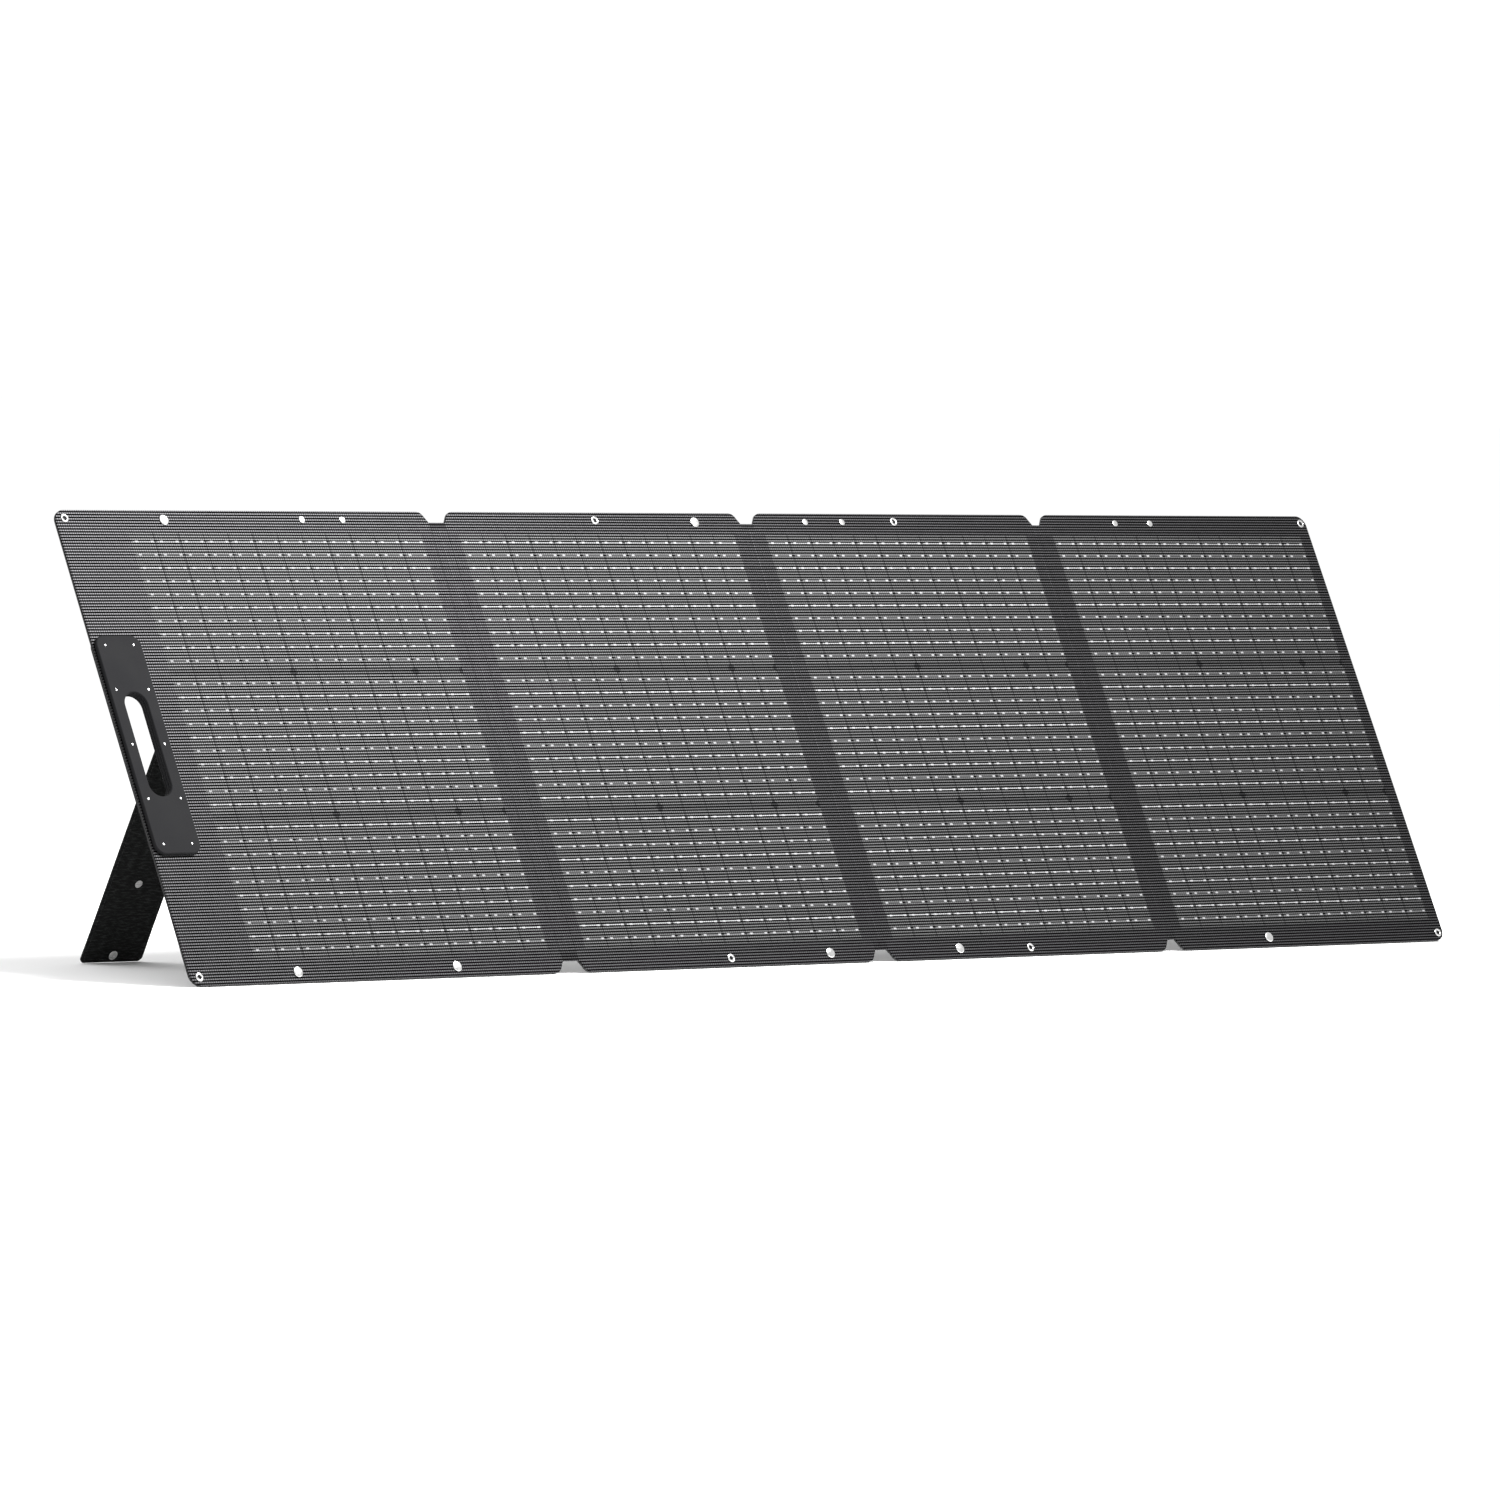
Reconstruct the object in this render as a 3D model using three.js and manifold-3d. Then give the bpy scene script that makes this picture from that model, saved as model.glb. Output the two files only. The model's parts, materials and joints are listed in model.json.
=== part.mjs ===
// A folding solar panel: four flat panels in a row, standing open on three legs.
// Units are millimetres. A panel is drawn flat, with x along the row, y up its slope and z out of its face.
// The face is z = 0. One group then tilts everything to the standing angle.
import * as THREE from "three";
import { mergeVertices } from "three/addons/utils/BufferGeometryUtils.js";
import Module from "manifold-3d";

const wasm = await Module();
wasm.setup();

// The row of panels
const LENGTH = 2120;
const HEIGHT = 620;
const FOLD_LINES = [594.6, 1110, 1619];
const FOLD_HALF_WIDTHS = [13, 10.75, 7.25];
const TILT = THREE.MathUtils.degToRad(62.4);
// Pieces that touch keep this gap.
const GAP = 0.3;
const MERGE_DISTANCE = 1e-4;
// A round end's radius stays this much under half its width.
const ROUND_END_PLAY = 0.01;

// The layers of a panel, front to back
const FACE_SHEET = 0.8;
const CELL = 0.4;
const BOARD = 1.5;
const REAR_SKIN = 0.8;
const CELL_FRONT = -FACE_SHEET - GAP;
const BOARD_FRONT = CELL_FRONT - CELL - GAP;
const REAR_FRONT = BOARD_FRONT - BOARD - GAP;
const BACK = REAR_FRONT - REAR_SKIN;

// Outlines
const CORNER_RADIUS = 15;
const CORNER_STEPS = 6;
const NOTCH_DEPTH = 15;
// A notch's mouth, as distances in from the panel's side and from its edge
const NOTCH_BEND = { start: [17, 0], turn: [9, 0], end: [5.85, 5.7], steps: 4 };
const BOARD_INSET = 3;
const CELL_PLAY = 1;

// Cells: rows of tall cells, each cut into narrow strips
const CELL_LEFTS = [104.8, 623.8, 1135.4, 1642.2];
const STRIPS = 12;
const STRIP_PITCH = 38.4;
const STRIP_GAP = 2;
const CELL_ROWS = 3;
const CELL_HEIGHT = 182;
const CELL_PITCH = 188.5;
const STRIP_LINK = 12;

// Soft bands between the panels
const BAND = { front: -0.2, back: -1.4, radius: 1 };

// Fittings along the top and bottom edges
const EYELET_PLACES = [14, 855, 1366, 2110];
const EYELET_INSET = 11;
const EYELET = {
  bore: 2.6,
  tube: 3.3,
  flange: 5.6,
  flat: 5.1,
  crown: 3.2,
  thick: 0.8,
  slopeDrop: 0.2,
  mouthDrop: 0.4,
};
const EDGE_STUD_PLACES = { 1: 412, 3: 1243 };
const STUD_INSET = 13;
const STUD = {
  cap: 6.75,
  edge: 0.5,
  crown: 5.0625,
  crownRise: 1.52,
  rise: 1.9,
  post: 2,
  washer: 5,
  washerThick: 0.55,
};
const NUB = { radius: 2.3, neck: 2, tip: 1.8, tipLength: 0.35, length: 0.75 };
const HOLE_PLAY = 2 * GAP;

// Legs
const LEG_PLACES = [164.5, 1021.6, 1795];
const LEG_LENGTH = 386;
const LEG_WIDTH = 95;
const LEG_THICK = 2.6;
const LEG_STANDOFF = 2.1;
const LEG_TOP_GAP = 1.5;
const FOOT_CHAMFER = 5;
const FOOT_SNAP_INSET = 10;
const LEG_RIVET_INSET = 111;
const HINGE_HEIGHT = LEG_LENGTH - FOOT_SNAP_INSET + STUD_INSET;
const HINGE_DEPTH = BACK - LEG_STANDOFF - LEG_THICK / 2;
const FLAP = { height: 34, thick: 1.2, above: 4, radius: 4 };
const SNAP = {
  rim: 6.15,
  flat: 5.55,
  rise: 1,
  edgeRise: 0.7,
  seat: 0.2,
  mouth: 3.2,
  cup: 3,
  cupRise: 0.4,
  floorRise: 0.3,
};
const SNAP_BACK = { edge: 0.6, middle: 0.8 };
const RIVET = {
  head: 5.2,
  edge: 0.3,
  crown: 3.6,
  crownRise: 1,
  rise: 1.3,
  tail: 4,
  tailEdge: 0.5,
  tailRise: 0.7,
};

// Handle
const HANDLE = { x: 36.5, width: 69, height: 285, radius: 14, thick: 4.3, bevel: 1.1 };
const SLOT = { width: 33, height: 135 };
const SLOT_MARGIN = 1;

// Junction box, on the back of the second panel
const BOX = { x: 770, y: 470, width: 110, height: 76, depth: 15, wall: 2.2, radius: 6 };
const LID = { overhang: 1, thick: 2.5 };
const GLAND = {
  bore: 3.1,
  thread: 5,
  threadEnd: 4.6,
  nut: 6.8,
  shoulder: 5.8,
  mouth: 4.4,
  inside: 4,
  outside: 15,
};
const GLAND_NUT = { length: 9, shoulder: 10.5 };
const TERMINAL = { above: 8, width: 72, height: 15, depth: 8, radius: 1.5 };
const DIODE = { aside: 26, below: 14, width: 18, height: 9, depth: 5, radius: 1 };

const materials = {
  film: new THREE.MeshStandardMaterial({ color: 0x2b2b30, roughness: 0.45, metalness: 0 }),
  cell: new THREE.MeshStandardMaterial({ color: 0x11131c, roughness: 0.3, metalness: 0.2 }),
  board: new THREE.MeshStandardMaterial({ color: 0xc9c3a6, roughness: 0.8, metalness: 0 }),
  fabric: new THREE.MeshStandardMaterial({ color: 0x131413, roughness: 0.95, metalness: 0 }),
  metal: new THREE.MeshStandardMaterial({ color: 0xd8d8d8, roughness: 0.25, metalness: 1 }),
  handle: new THREE.MeshStandardMaterial({ color: 0x3a3a3c, roughness: 0.6, metalness: 0 }),
  box: new THREE.MeshStandardMaterial({ color: 0x18181a, roughness: 0.5, metalness: 0 }),
  brass: new THREE.MeshStandardMaterial({ color: 0xb08d4a, roughness: 0.4, metalness: 1 }),
};

const root = new THREE.Group();
const slope = new THREE.Group();
slope.rotation.x = TILT;
root.add(slope);

function place(name, geometry, material, parent = slope) {
  const mesh = new THREE.Mesh(geometry, materials[material]);
  mesh.name = name;
  parent.add(mesh);
  return mesh;
}

// A geometry as a manifold solid, and back.
function solid(geometry) {
  const bare = new THREE.BufferGeometry().setAttribute("position", geometry.getAttribute("position"));
  bare.setIndex(geometry.index);
  const merged = mergeVertices(bare, MERGE_DISTANCE);
  return new wasm.Manifold(
    new wasm.Mesh({
      numProp: 3,
      vertProperties: new Float32Array(merged.getAttribute("position").array),
      triVerts: new Uint32Array(merged.index.array),
    }),
  );
}

function geometryOf(manifold) {
  const mesh = manifold.getMesh();
  return new THREE.BufferGeometry()
    .setAttribute("position", new THREE.BufferAttribute(new Float32Array(mesh.vertProperties), 3))
    .setIndex(new THREE.BufferAttribute(new Uint32Array(mesh.triVerts), 1));
}

// Plane outlines are lists of [x, y] points, anticlockwise.
function arc(x, y, radius, from, to, steps) {
  const points = [];
  for (let i = 0; i <= steps; i++) {
    const angle = from + ((to - from) * i) / steps;
    points.push([x + radius * Math.cos(angle), y + radius * Math.sin(angle)]);
  }
  return points;
}

function circle(x, y, radius, steps = 12) {
  return arc(x, y, radius, 0, 2 * Math.PI, steps).slice(0, steps);
}

function roundedBox(x, y, width, height, radius, steps = 4) {
  const dx = width / 2 - radius;
  const dy = height / 2 - radius;
  const quarter = Math.PI / 2;
  return [
    [dx, dy],
    [-dx, dy],
    [-dx, -dy],
    [dx, -dy],
  ].flatMap(([cx, cy], i) => arc(x + cx, y + cy, radius, i * quarter, (i + 1) * quarter, steps));
}

// A flat sheet between two depths, with holes through it.
function sheet(outline, holes, front, back) {
  const shape = new THREE.Shape(outline.map(([x, y]) => new THREE.Vector2(x, y)));
  shape.holes = holes.map((hole) => new THREE.Path(hole.map(([x, y]) => new THREE.Vector2(x, y))));
  const geometry = new THREE.ExtrudeGeometry(shape, { depth: front - back, bevelEnabled: false });
  return geometry.translate(0, 0, back);
}

// A turned piece about z. The profile's [radius, z] points run anticlockwise round the section.
function turned(profile, steps = 12) {
  const points = profile.map(([radius, z]) => new THREE.Vector2(radius, z));
  return new THREE.LatheGeometry(points, steps).rotateX(Math.PI / 2);
}

// Panels, from left to right
const panels = [0, ...FOLD_LINES].map((start, i) => ({
  number: i + 1,
  left: i === 0 ? 0 : start + FOLD_HALF_WIDTHS[i - 1],
  right: i === 3 ? LENGTH : FOLD_LINES[i] - FOLD_HALF_WIDTHS[i],
  leftFold: i > 0,
  rightFold: i < 3,
  cells: CELL_LEFTS[i],
}));

function onPanel(x, panel) {
  return x > panel.left && x < panel.right;
}

// A corner's [distance in from the side, distance in from the edge] points, from the edge round to the side.
function corner(isFold) {
  if (!isFold) return arc(CORNER_RADIUS, CORNER_RADIUS, CORNER_RADIUS, -Math.PI / 2, -Math.PI, CORNER_STEPS);
  const ends = [NOTCH_BEND.start, NOTCH_BEND.turn, NOTCH_BEND.end];
  const bend = new THREE.QuadraticBezierCurve(...ends.map(([a, b]) => new THREE.Vector2(a, b)));
  return [...bend.getPoints(NOTCH_BEND.steps).map((p) => [p.x, p.y]), [0, NOTCH_DEPTH]];
}

function panelOutline(panel, inset = 0) {
  const right = corner(panel.rightFold);
  const left = corner(panel.leftFold);
  const from = panel.left + inset;
  const to = panel.right - inset;
  const top = HEIGHT - inset;
  return [
    ...right.map(([a, b]) => [to - a, inset + b]),
    ...right.toReversed().map(([a, b]) => [to - a, top - b]),
    ...left.map(([a, b]) => [from + a, top - b]),
    ...left.toReversed().map(([a, b]) => [from + a, inset + b]),
  ];
}

// Fittings, each through a hole in its panel's sheets
const eyelets = EYELET_PLACES.flatMap((x, i) => [
  { name: `eyelet_${i + 1}_bottom`, x, y: EYELET_INSET },
  { name: `eyelet_${i + 1}_top`, x, y: HEIGHT - EYELET_INSET },
]);
const studs = [
  ...LEG_PLACES.map((x, i) => ({ name: `leg_${i + 1}_stow_stud`, x, y: STUD_INSET })),
  { name: "closure_stud_1", x: LEG_PLACES[0], y: HEIGHT - STUD_INSET },
  { name: "closure_stud_2", x: LEG_PLACES[1], y: HEIGHT - STUD_INSET },
  ...Object.entries(EDGE_STUD_PLACES).map(([panel, x]) => ({ name: `edge_stud_${panel}`, x, y: STUD_INSET })),
];

function holesOf(panel) {
  const holes = [
    ...eyelets.map(({ x, y }) => ({ x, y, radius: EYELET.tube })),
    ...studs.map(({ x, y }) => ({ x, y, radius: STUD.post })),
  ]
    .filter(({ x }) => onPanel(x, panel))
    .map(({ x, y, radius }) => circle(x, y, radius + HOLE_PLAY));
  if (panel.number === 1) {
    const width = SLOT.width + 2 * SLOT_MARGIN;
    const height = SLOT.height + 2 * SLOT_MARGIN;
    holes.push(roundedBox(HANDLE.x, HEIGHT / 2, width, height, width / 2 - ROUND_END_PLAY, 5));
  }
  return holes;
}

const CELLS_WIDTH = STRIPS * STRIP_PITCH - STRIP_GAP;
const CELLS_HEIGHT = (CELL_ROWS - 1) * CELL_PITCH + CELL_HEIGHT;
const CELLS_BOTTOM = (HEIGHT - CELLS_HEIGHT) / 2;

function block(x, y, width, height, front, back) {
  const box = new THREE.BoxGeometry(width, height, front - back);
  return solid(box.translate(x + width / 2, y + height / 2, (front + back) / 2));
}

// The face sheet has a thick border, and a recess in its back for the cells.
function faceSheetGeometry(panel, outline, holes) {
  const left = panel.cells - CELL_PLAY;
  const bottom = CELLS_BOTTOM - CELL_PLAY;
  const width = CELLS_WIDTH + 2 * CELL_PLAY;
  const height = CELLS_HEIGHT + 2 * CELL_PLAY;
  const recess = block(left, bottom, width, height, -FACE_SHEET, BOARD_FRONT);
  return geometryOf(solid(sheet(outline, holes, 0, BOARD_FRONT + GAP)).subtract(recess));
}

// Cells: the strips of a row are joined by short links where the ribbons run.
function cellGeometry(panel) {
  const back = CELL_FRONT - CELL;
  let cells = block(panel.cells, CELLS_BOTTOM, CELLS_WIDTH, CELLS_HEIGHT, CELL_FRONT, back);
  for (let row = 0; row < CELL_ROWS; row++) {
    const bottom = CELLS_BOTTOM + row * CELL_PITCH + STRIP_LINK;
    for (let strip = 1; strip < STRIPS; strip++) {
      const left = panel.cells + strip * STRIP_PITCH - STRIP_GAP;
      cells = cells.subtract(block(left, bottom, STRIP_GAP, CELL_HEIGHT - 2 * STRIP_LINK, 0, 2 * back));
    }
  }
  return geometryOf(cells);
}

for (const panel of panels) {
  const name = `panel_${panel.number}`;
  const outline = panelOutline(panel);
  const boardOutline = panelOutline(panel, BOARD_INSET);
  const holes = holesOf(panel);
  place(`${name}_face_sheet`, faceSheetGeometry(panel, outline, holes), "film");
  place(`${name}_cells`, cellGeometry(panel), "cell");
  place(`${name}_board`, sheet(boardOutline, holes, BOARD_FRONT, BOARD_FRONT - BOARD), "board");
  place(`${name}_rear_cover`, sheet(outline, holes, REAR_FRONT, BACK), "fabric");
}

// Soft bands between the panels, in two halves that meet on the fold line
FOLD_LINES.forEach((x, i) => {
  for (const side of [-1, 1]) {
    const width = FOLD_HALF_WIDTHS[i] - 1.5 * GAP;
    const middle = x + side * (GAP / 2 + width / 2);
    const outline = roundedBox(middle, HEIGHT / 2, width, HEIGHT - 2 * NOTCH_DEPTH, BAND.radius, 1);
    const name = `fold_${i + 1}_web_${side < 0 ? "left" : "right"}`;
    place(name, sheet(outline, [], BAND.front, BAND.back), "fabric");
  }
});

// Eyelets: a flange on each side of the panel and the tube between them
for (const { name, x, y } of eyelets) {
  const front = GAP + EYELET.thick;
  const back = BACK - GAP - EYELET.thick;
  const ring = turned([
    [EYELET.bore, back],
    [EYELET.flat, back],
    [EYELET.flange, BACK - GAP],
    [EYELET.tube, BACK - GAP],
    [EYELET.tube, GAP],
    [EYELET.flange, GAP],
    [EYELET.flat, front - EYELET.slopeDrop],
    [EYELET.crown, front],
    [EYELET.bore, front - EYELET.mouthDrop],
    [EYELET.bore, back],
  ]);
  place(name, ring, "metal").position.set(x, y, 0);
}

// Snap studs: a domed cap on the face, a post, and a washer and nub on the back
const STUD_WASHER_BACK = BACK - GAP - STUD.washerThick;
for (const { name, x, y } of studs) {
  const stud = turned([
    [0, STUD_WASHER_BACK - NUB.length],
    [NUB.tip, STUD_WASHER_BACK - NUB.length],
    [NUB.radius, STUD_WASHER_BACK - NUB.length + NUB.tipLength],
    [NUB.neck, STUD_WASHER_BACK],
    [STUD.washer, STUD_WASHER_BACK],
    [STUD.washer, BACK - GAP],
    [STUD.post, BACK - GAP],
    [STUD.post, GAP],
    [STUD.cap, GAP],
    [STUD.cap, GAP + STUD.edge],
    [STUD.crown, GAP + STUD.crownRise],
    [0, GAP + STUD.rise],
  ]);
  place(name, stud, "metal").position.set(x, y, 0);
}

// The angle between an open leg and its panel that puts the leg's lowest corner on the floor
const FLOOR_DROP = BACK * Math.cos(TILT);
const hingeRise = HINGE_HEIGHT * Math.sin(TILT) + HINGE_DEPTH * Math.cos(TILT) - FLOOR_DROP;
const legReach = Math.hypot(LEG_LENGTH, LEG_THICK / 2);
const legCorner = Math.atan2(LEG_THICK / 2, LEG_LENGTH);
const legSteepness = Math.asin(hingeRise / legReach) - legCorner;
const LEG_OPEN = Math.PI - TILT - legSteepness;

// Legs: each hangs from its hinge along -y and turns about x
LEG_PLACES.forEach((x, i) => {
  const name = `leg_${i + 1}`;
  const leg = new THREE.Group();
  leg.position.set(x, HINGE_HEIGHT, HINGE_DEPTH);
  leg.rotation.x = LEG_OPEN;
  slope.add(leg);
  const half = LEG_WIDTH / 2;
  const snap = -LEG_LENGTH + FOOT_SNAP_INSET;
  const rivet = -LEG_LENGTH + LEG_RIVET_INSET;
  const front = LEG_THICK / 2;
  const outline = [
    [-half + FOOT_CHAMFER, -LEG_LENGTH],
    [half - FOOT_CHAMFER, -LEG_LENGTH],
    [half, -LEG_LENGTH + FOOT_CHAMFER],
    [half, -LEG_TOP_GAP],
    [-half, -LEG_TOP_GAP],
    [-half, -LEG_LENGTH + FOOT_CHAMFER],
  ];
  const holes = [snap, rivet].map((y) => circle(0, y, STUD.post + HOLE_PLAY));
  place(`${name}_board`, sheet(outline, holes, front, -front), "fabric", leg);
  // The foot snap is a ring that the panel's stud enters when the leg is stowed.
  const ring = turned([
    [0, -front - GAP - SNAP_BACK.middle],
    [SNAP.flat, -front - GAP - SNAP_BACK.edge],
    [SNAP.rim, -front - GAP],
    [STUD.post, -front - GAP],
    [STUD.post, front + SNAP.seat],
    [SNAP.rim, front + SNAP.seat],
    [SNAP.rim, front + SNAP.edgeRise],
    [SNAP.flat, front + SNAP.rise],
    [SNAP.mouth, front + SNAP.rise],
    [SNAP.cup, front + SNAP.cupRise],
    [0, front + SNAP.floorRise],
  ]);
  place(`${name}_foot_snap`, ring, "metal", leg).position.set(0, snap, 0);
  const head = turned([
    [0, -front - GAP - RIVET.tailRise],
    [RIVET.crown, -front - GAP - RIVET.tailEdge],
    [RIVET.tail, -front - GAP],
    [STUD.post, -front - GAP],
    [STUD.post, front + GAP],
    [RIVET.head, front + GAP],
    [RIVET.head, front + GAP + RIVET.edge],
    [RIVET.crown, front + GAP + RIVET.crownRise],
    [0, front + GAP + RIVET.rise],
  ]);
  place(`${name}_rivet`, head, "metal", leg).position.set(0, rivet, 0);
  // The flap is sewn to the panel's back, above the hinge line.
  const flapMiddle = HINGE_HEIGHT + FLAP.above + FLAP.height / 2;
  const flap = roundedBox(x, flapMiddle, LEG_WIDTH, FLAP.height, FLAP.radius, 2);
  place(`${name}_hinge_flap`, sheet(flap, [], BACK - GAP, BACK - GAP - FLAP.thick), "fabric");
});

// Handle: a plate on each side of the panel's end, both with the finger slot
function handlePlate(back) {
  const outline = roundedBox(HANDLE.x, HEIGHT / 2, HANDLE.width, HANDLE.height, HANDLE.radius, 5);
  const slotRadius = SLOT.width / 2 - ROUND_END_PLAY;
  const slot = roundedBox(HANDLE.x, HEIGHT / 2, SLOT.width, SLOT.height, slotRadius, 6);
  const shape = new THREE.Shape(outline.map(([x, y]) => new THREE.Vector2(x, y)));
  shape.holes = [new THREE.Path(slot.map(([x, y]) => new THREE.Vector2(x, y)))];
  const plate = new THREE.ExtrudeGeometry(shape, {
    depth: HANDLE.thick - 2 * HANDLE.bevel,
    bevelThickness: HANDLE.bevel,
    bevelSize: HANDLE.bevel,
    bevelOffset: -HANDLE.bevel,
    bevelSegments: 1,
  });
  return plate.translate(0, 0, back + HANDLE.bevel);
}
place("handle_front", handlePlate(GAP), "handle");
place("handle_rear", handlePlate(BACK - GAP - HANDLE.thick), "handle");

// Junction box: an open base, its lid, the cable gland, and the parts inside
const boxFront = BACK - GAP;
const boxBack = boxFront - BOX.depth;
const boxMiddle = (boxFront + boxBack) / 2;
const boxWallBottom = BOX.y - BOX.height / 2;

function boxOutline(grow) {
  return roundedBox(BOX.x, BOX.y, BOX.width + 2 * grow, BOX.height + 2 * grow, BOX.radius + grow, 3);
}

function alongY(geometry, y) {
  return geometry.rotateX(Math.PI / 2).translate(BOX.x, y, boxMiddle);
}

const glandRadius = GLAND.thread + GAP;
const glandHole = new THREE.CylinderGeometry(glandRadius, glandRadius, 4 * BOX.wall, 16);
const base = solid(sheet(boxOutline(0), [], boxFront, boxBack))
  .subtract(solid(sheet(boxOutline(-BOX.wall), [], boxFront - BOX.wall, boxBack - BOX.wall)))
  .subtract(solid(glandHole.translate(BOX.x, boxWallBottom, boxMiddle)));
place("junction_base", geometryOf(base), "box");
place("junction_lid", sheet(boxOutline(LID.overhang), [], boxBack - GAP, boxBack - GAP - LID.thick), "box");

const gland = turned([
  [GLAND.bore, -BOX.wall - GLAND.inside],
  [GLAND.threadEnd, -BOX.wall - GLAND.inside],
  [GLAND.thread, -BOX.wall],
  [GLAND.thread, GAP],
  [GLAND.nut, GAP],
  [GLAND.nut, GLAND_NUT.length],
  [GLAND.shoulder, GLAND_NUT.shoulder],
  [GLAND.mouth, GLAND.outside],
  [GLAND.bore, GLAND.outside],
  [GLAND.bore, -BOX.wall - GLAND.inside],
]);
place("cable_gland", alongY(gland, boxWallBottom), "box");

const innerFront = boxFront - BOX.wall - GAP;
const terminalY = BOX.y + TERMINAL.above;
const terminal = roundedBox(BOX.x, terminalY, TERMINAL.width, TERMINAL.height, TERMINAL.radius, 2);
place("terminal_block", sheet(terminal, [], innerFront, innerFront - TERMINAL.depth), "brass");
for (const side of [-1, 1]) {
  const x = BOX.x + side * DIODE.aside;
  const diode = roundedBox(x, BOX.y - DIODE.below, DIODE.width, DIODE.height, DIODE.radius, 2);
  place(`bypass_diode_${side < 0 ? 1 : 2}`, sheet(diode, [], innerFront, innerFront - DIODE.depth), "box");
}

// The origin is under the middle of the whole piece, on the floor.
const extent = new THREE.Box3().setFromObject(root, true);
const centre = extent.getCenter(new THREE.Vector3());
root.position.set(-centre.x, -centre.y, -extent.min.z);

export default root;
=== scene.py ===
"""The looks of a folding solar panel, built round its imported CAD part.

Shapes are drawn in millimetres in a local frame and made in metres in the row frame. The slope frame lies on
the row of panels: x runs along the row from its left end, y up the slope from the bottom edge, and z out of
the face.
"""

import json
import math

import bmesh
import bpy
from mathutils import Matrix, Vector
from mathutils.geometry import tessellate_polygon

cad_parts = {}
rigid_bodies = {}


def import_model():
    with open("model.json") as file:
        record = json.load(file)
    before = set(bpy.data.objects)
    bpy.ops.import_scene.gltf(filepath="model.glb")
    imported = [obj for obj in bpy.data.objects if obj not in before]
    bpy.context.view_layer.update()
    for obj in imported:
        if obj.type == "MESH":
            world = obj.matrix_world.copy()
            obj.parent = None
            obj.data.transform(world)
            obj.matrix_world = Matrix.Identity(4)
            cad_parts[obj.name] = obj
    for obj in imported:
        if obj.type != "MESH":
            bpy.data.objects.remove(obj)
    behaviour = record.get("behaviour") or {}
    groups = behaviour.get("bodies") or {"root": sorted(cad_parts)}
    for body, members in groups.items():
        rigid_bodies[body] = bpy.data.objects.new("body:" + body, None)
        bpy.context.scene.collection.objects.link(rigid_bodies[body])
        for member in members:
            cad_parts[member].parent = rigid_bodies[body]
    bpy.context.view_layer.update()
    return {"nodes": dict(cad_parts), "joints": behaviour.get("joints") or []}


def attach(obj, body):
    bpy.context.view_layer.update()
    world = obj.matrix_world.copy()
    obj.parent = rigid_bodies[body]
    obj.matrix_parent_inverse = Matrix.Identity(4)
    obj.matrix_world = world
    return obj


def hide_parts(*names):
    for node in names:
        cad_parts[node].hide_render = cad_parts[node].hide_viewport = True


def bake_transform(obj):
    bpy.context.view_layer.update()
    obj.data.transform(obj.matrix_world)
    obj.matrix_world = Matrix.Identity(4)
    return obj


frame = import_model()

MM = 0.001

# ---------------------------------------------------------------- where things are, from the CAD frame

JOINTS = {joint["name"]: joint for joint in frame["joints"]}
ACROSS = Vector((1, 0, 0))
UP = -Vector(JOINTS["fold_1"]["axis"]).normalized()
OUT = ACROSS.cross(UP)


def spans(node, axes=(ACROSS, UP, OUT), origin=Vector()):
    """The [lowest, highest] reach of a CAD node along each axis, in millimetres from origin."""
    corners = [v.co - origin for v in frame["nodes"][node].data.vertices]
    reach = []
    for axis in axes:
        along = [corner.dot(axis) / MM for corner in corners]
        reach.append((min(along), max(along)))
    return reach


first = spans("panel_1_face_sheet")
ORIGIN = (ACROSS * first[0][0] + UP * first[1][0] + OUT * first[2][1]) * MM
TURN = Matrix((ACROSS, UP, OUT)).transposed().to_4x4()
SLOPE = Matrix.Translation(ORIGIN) @ TURN


def on_slope(node):
    """A CAD node's reach in the slope frame, in millimetres."""
    return spans(node, origin=ORIGIN)


def middle(reach):
    return (reach[0] + reach[1]) / 2


HEIGHT = on_slope("panel_1_face_sheet")[1][1]
CELL_CLEARANCE = 0.25
PANELS = [1, 2, 3, 4]
EDGES = [on_slope(f"panel_{n}_face_sheet")[0] for n in PANELS]
FOLDS = [(EDGES[i][1], EDGES[i + 1][0]) for i in range(3)]
FILM_BACK = on_slope("panel_1_face_sheet")[2][0]
CELL_CEILING = on_slope("panel_1_cells")[2][1] + CELL_CLEARANCE
BOARD_BACK = on_slope("panel_1_board")[2][0]
BACK = on_slope("panel_1_rear_cover")[2][0]


def leg_frame(number):
    """The frame of a leg: x along its hinge from its middle, y up to the hinge, z towards the panel."""
    joint = JOINTS[f"leg_{number}_stow"]
    turn = Matrix.Rotation(math.radians(joint["range_deg"][1]), 4, "X")
    return Matrix.Translation(Vector(joint["pos_m"])) @ TURN @ turn


LEGS = {number: leg_frame(number) for number in (1, 2, 3)}


def on_leg(node, number):
    """A CAD node's reach in its leg's frame, in millimetres."""
    turn = LEGS[number].to_3x3()
    axes = [turn.col[i].copy() for i in range(3)]
    return spans(node, axes, LEGS[number].translation)


# ---------------------------------------------------------------- materials


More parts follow.
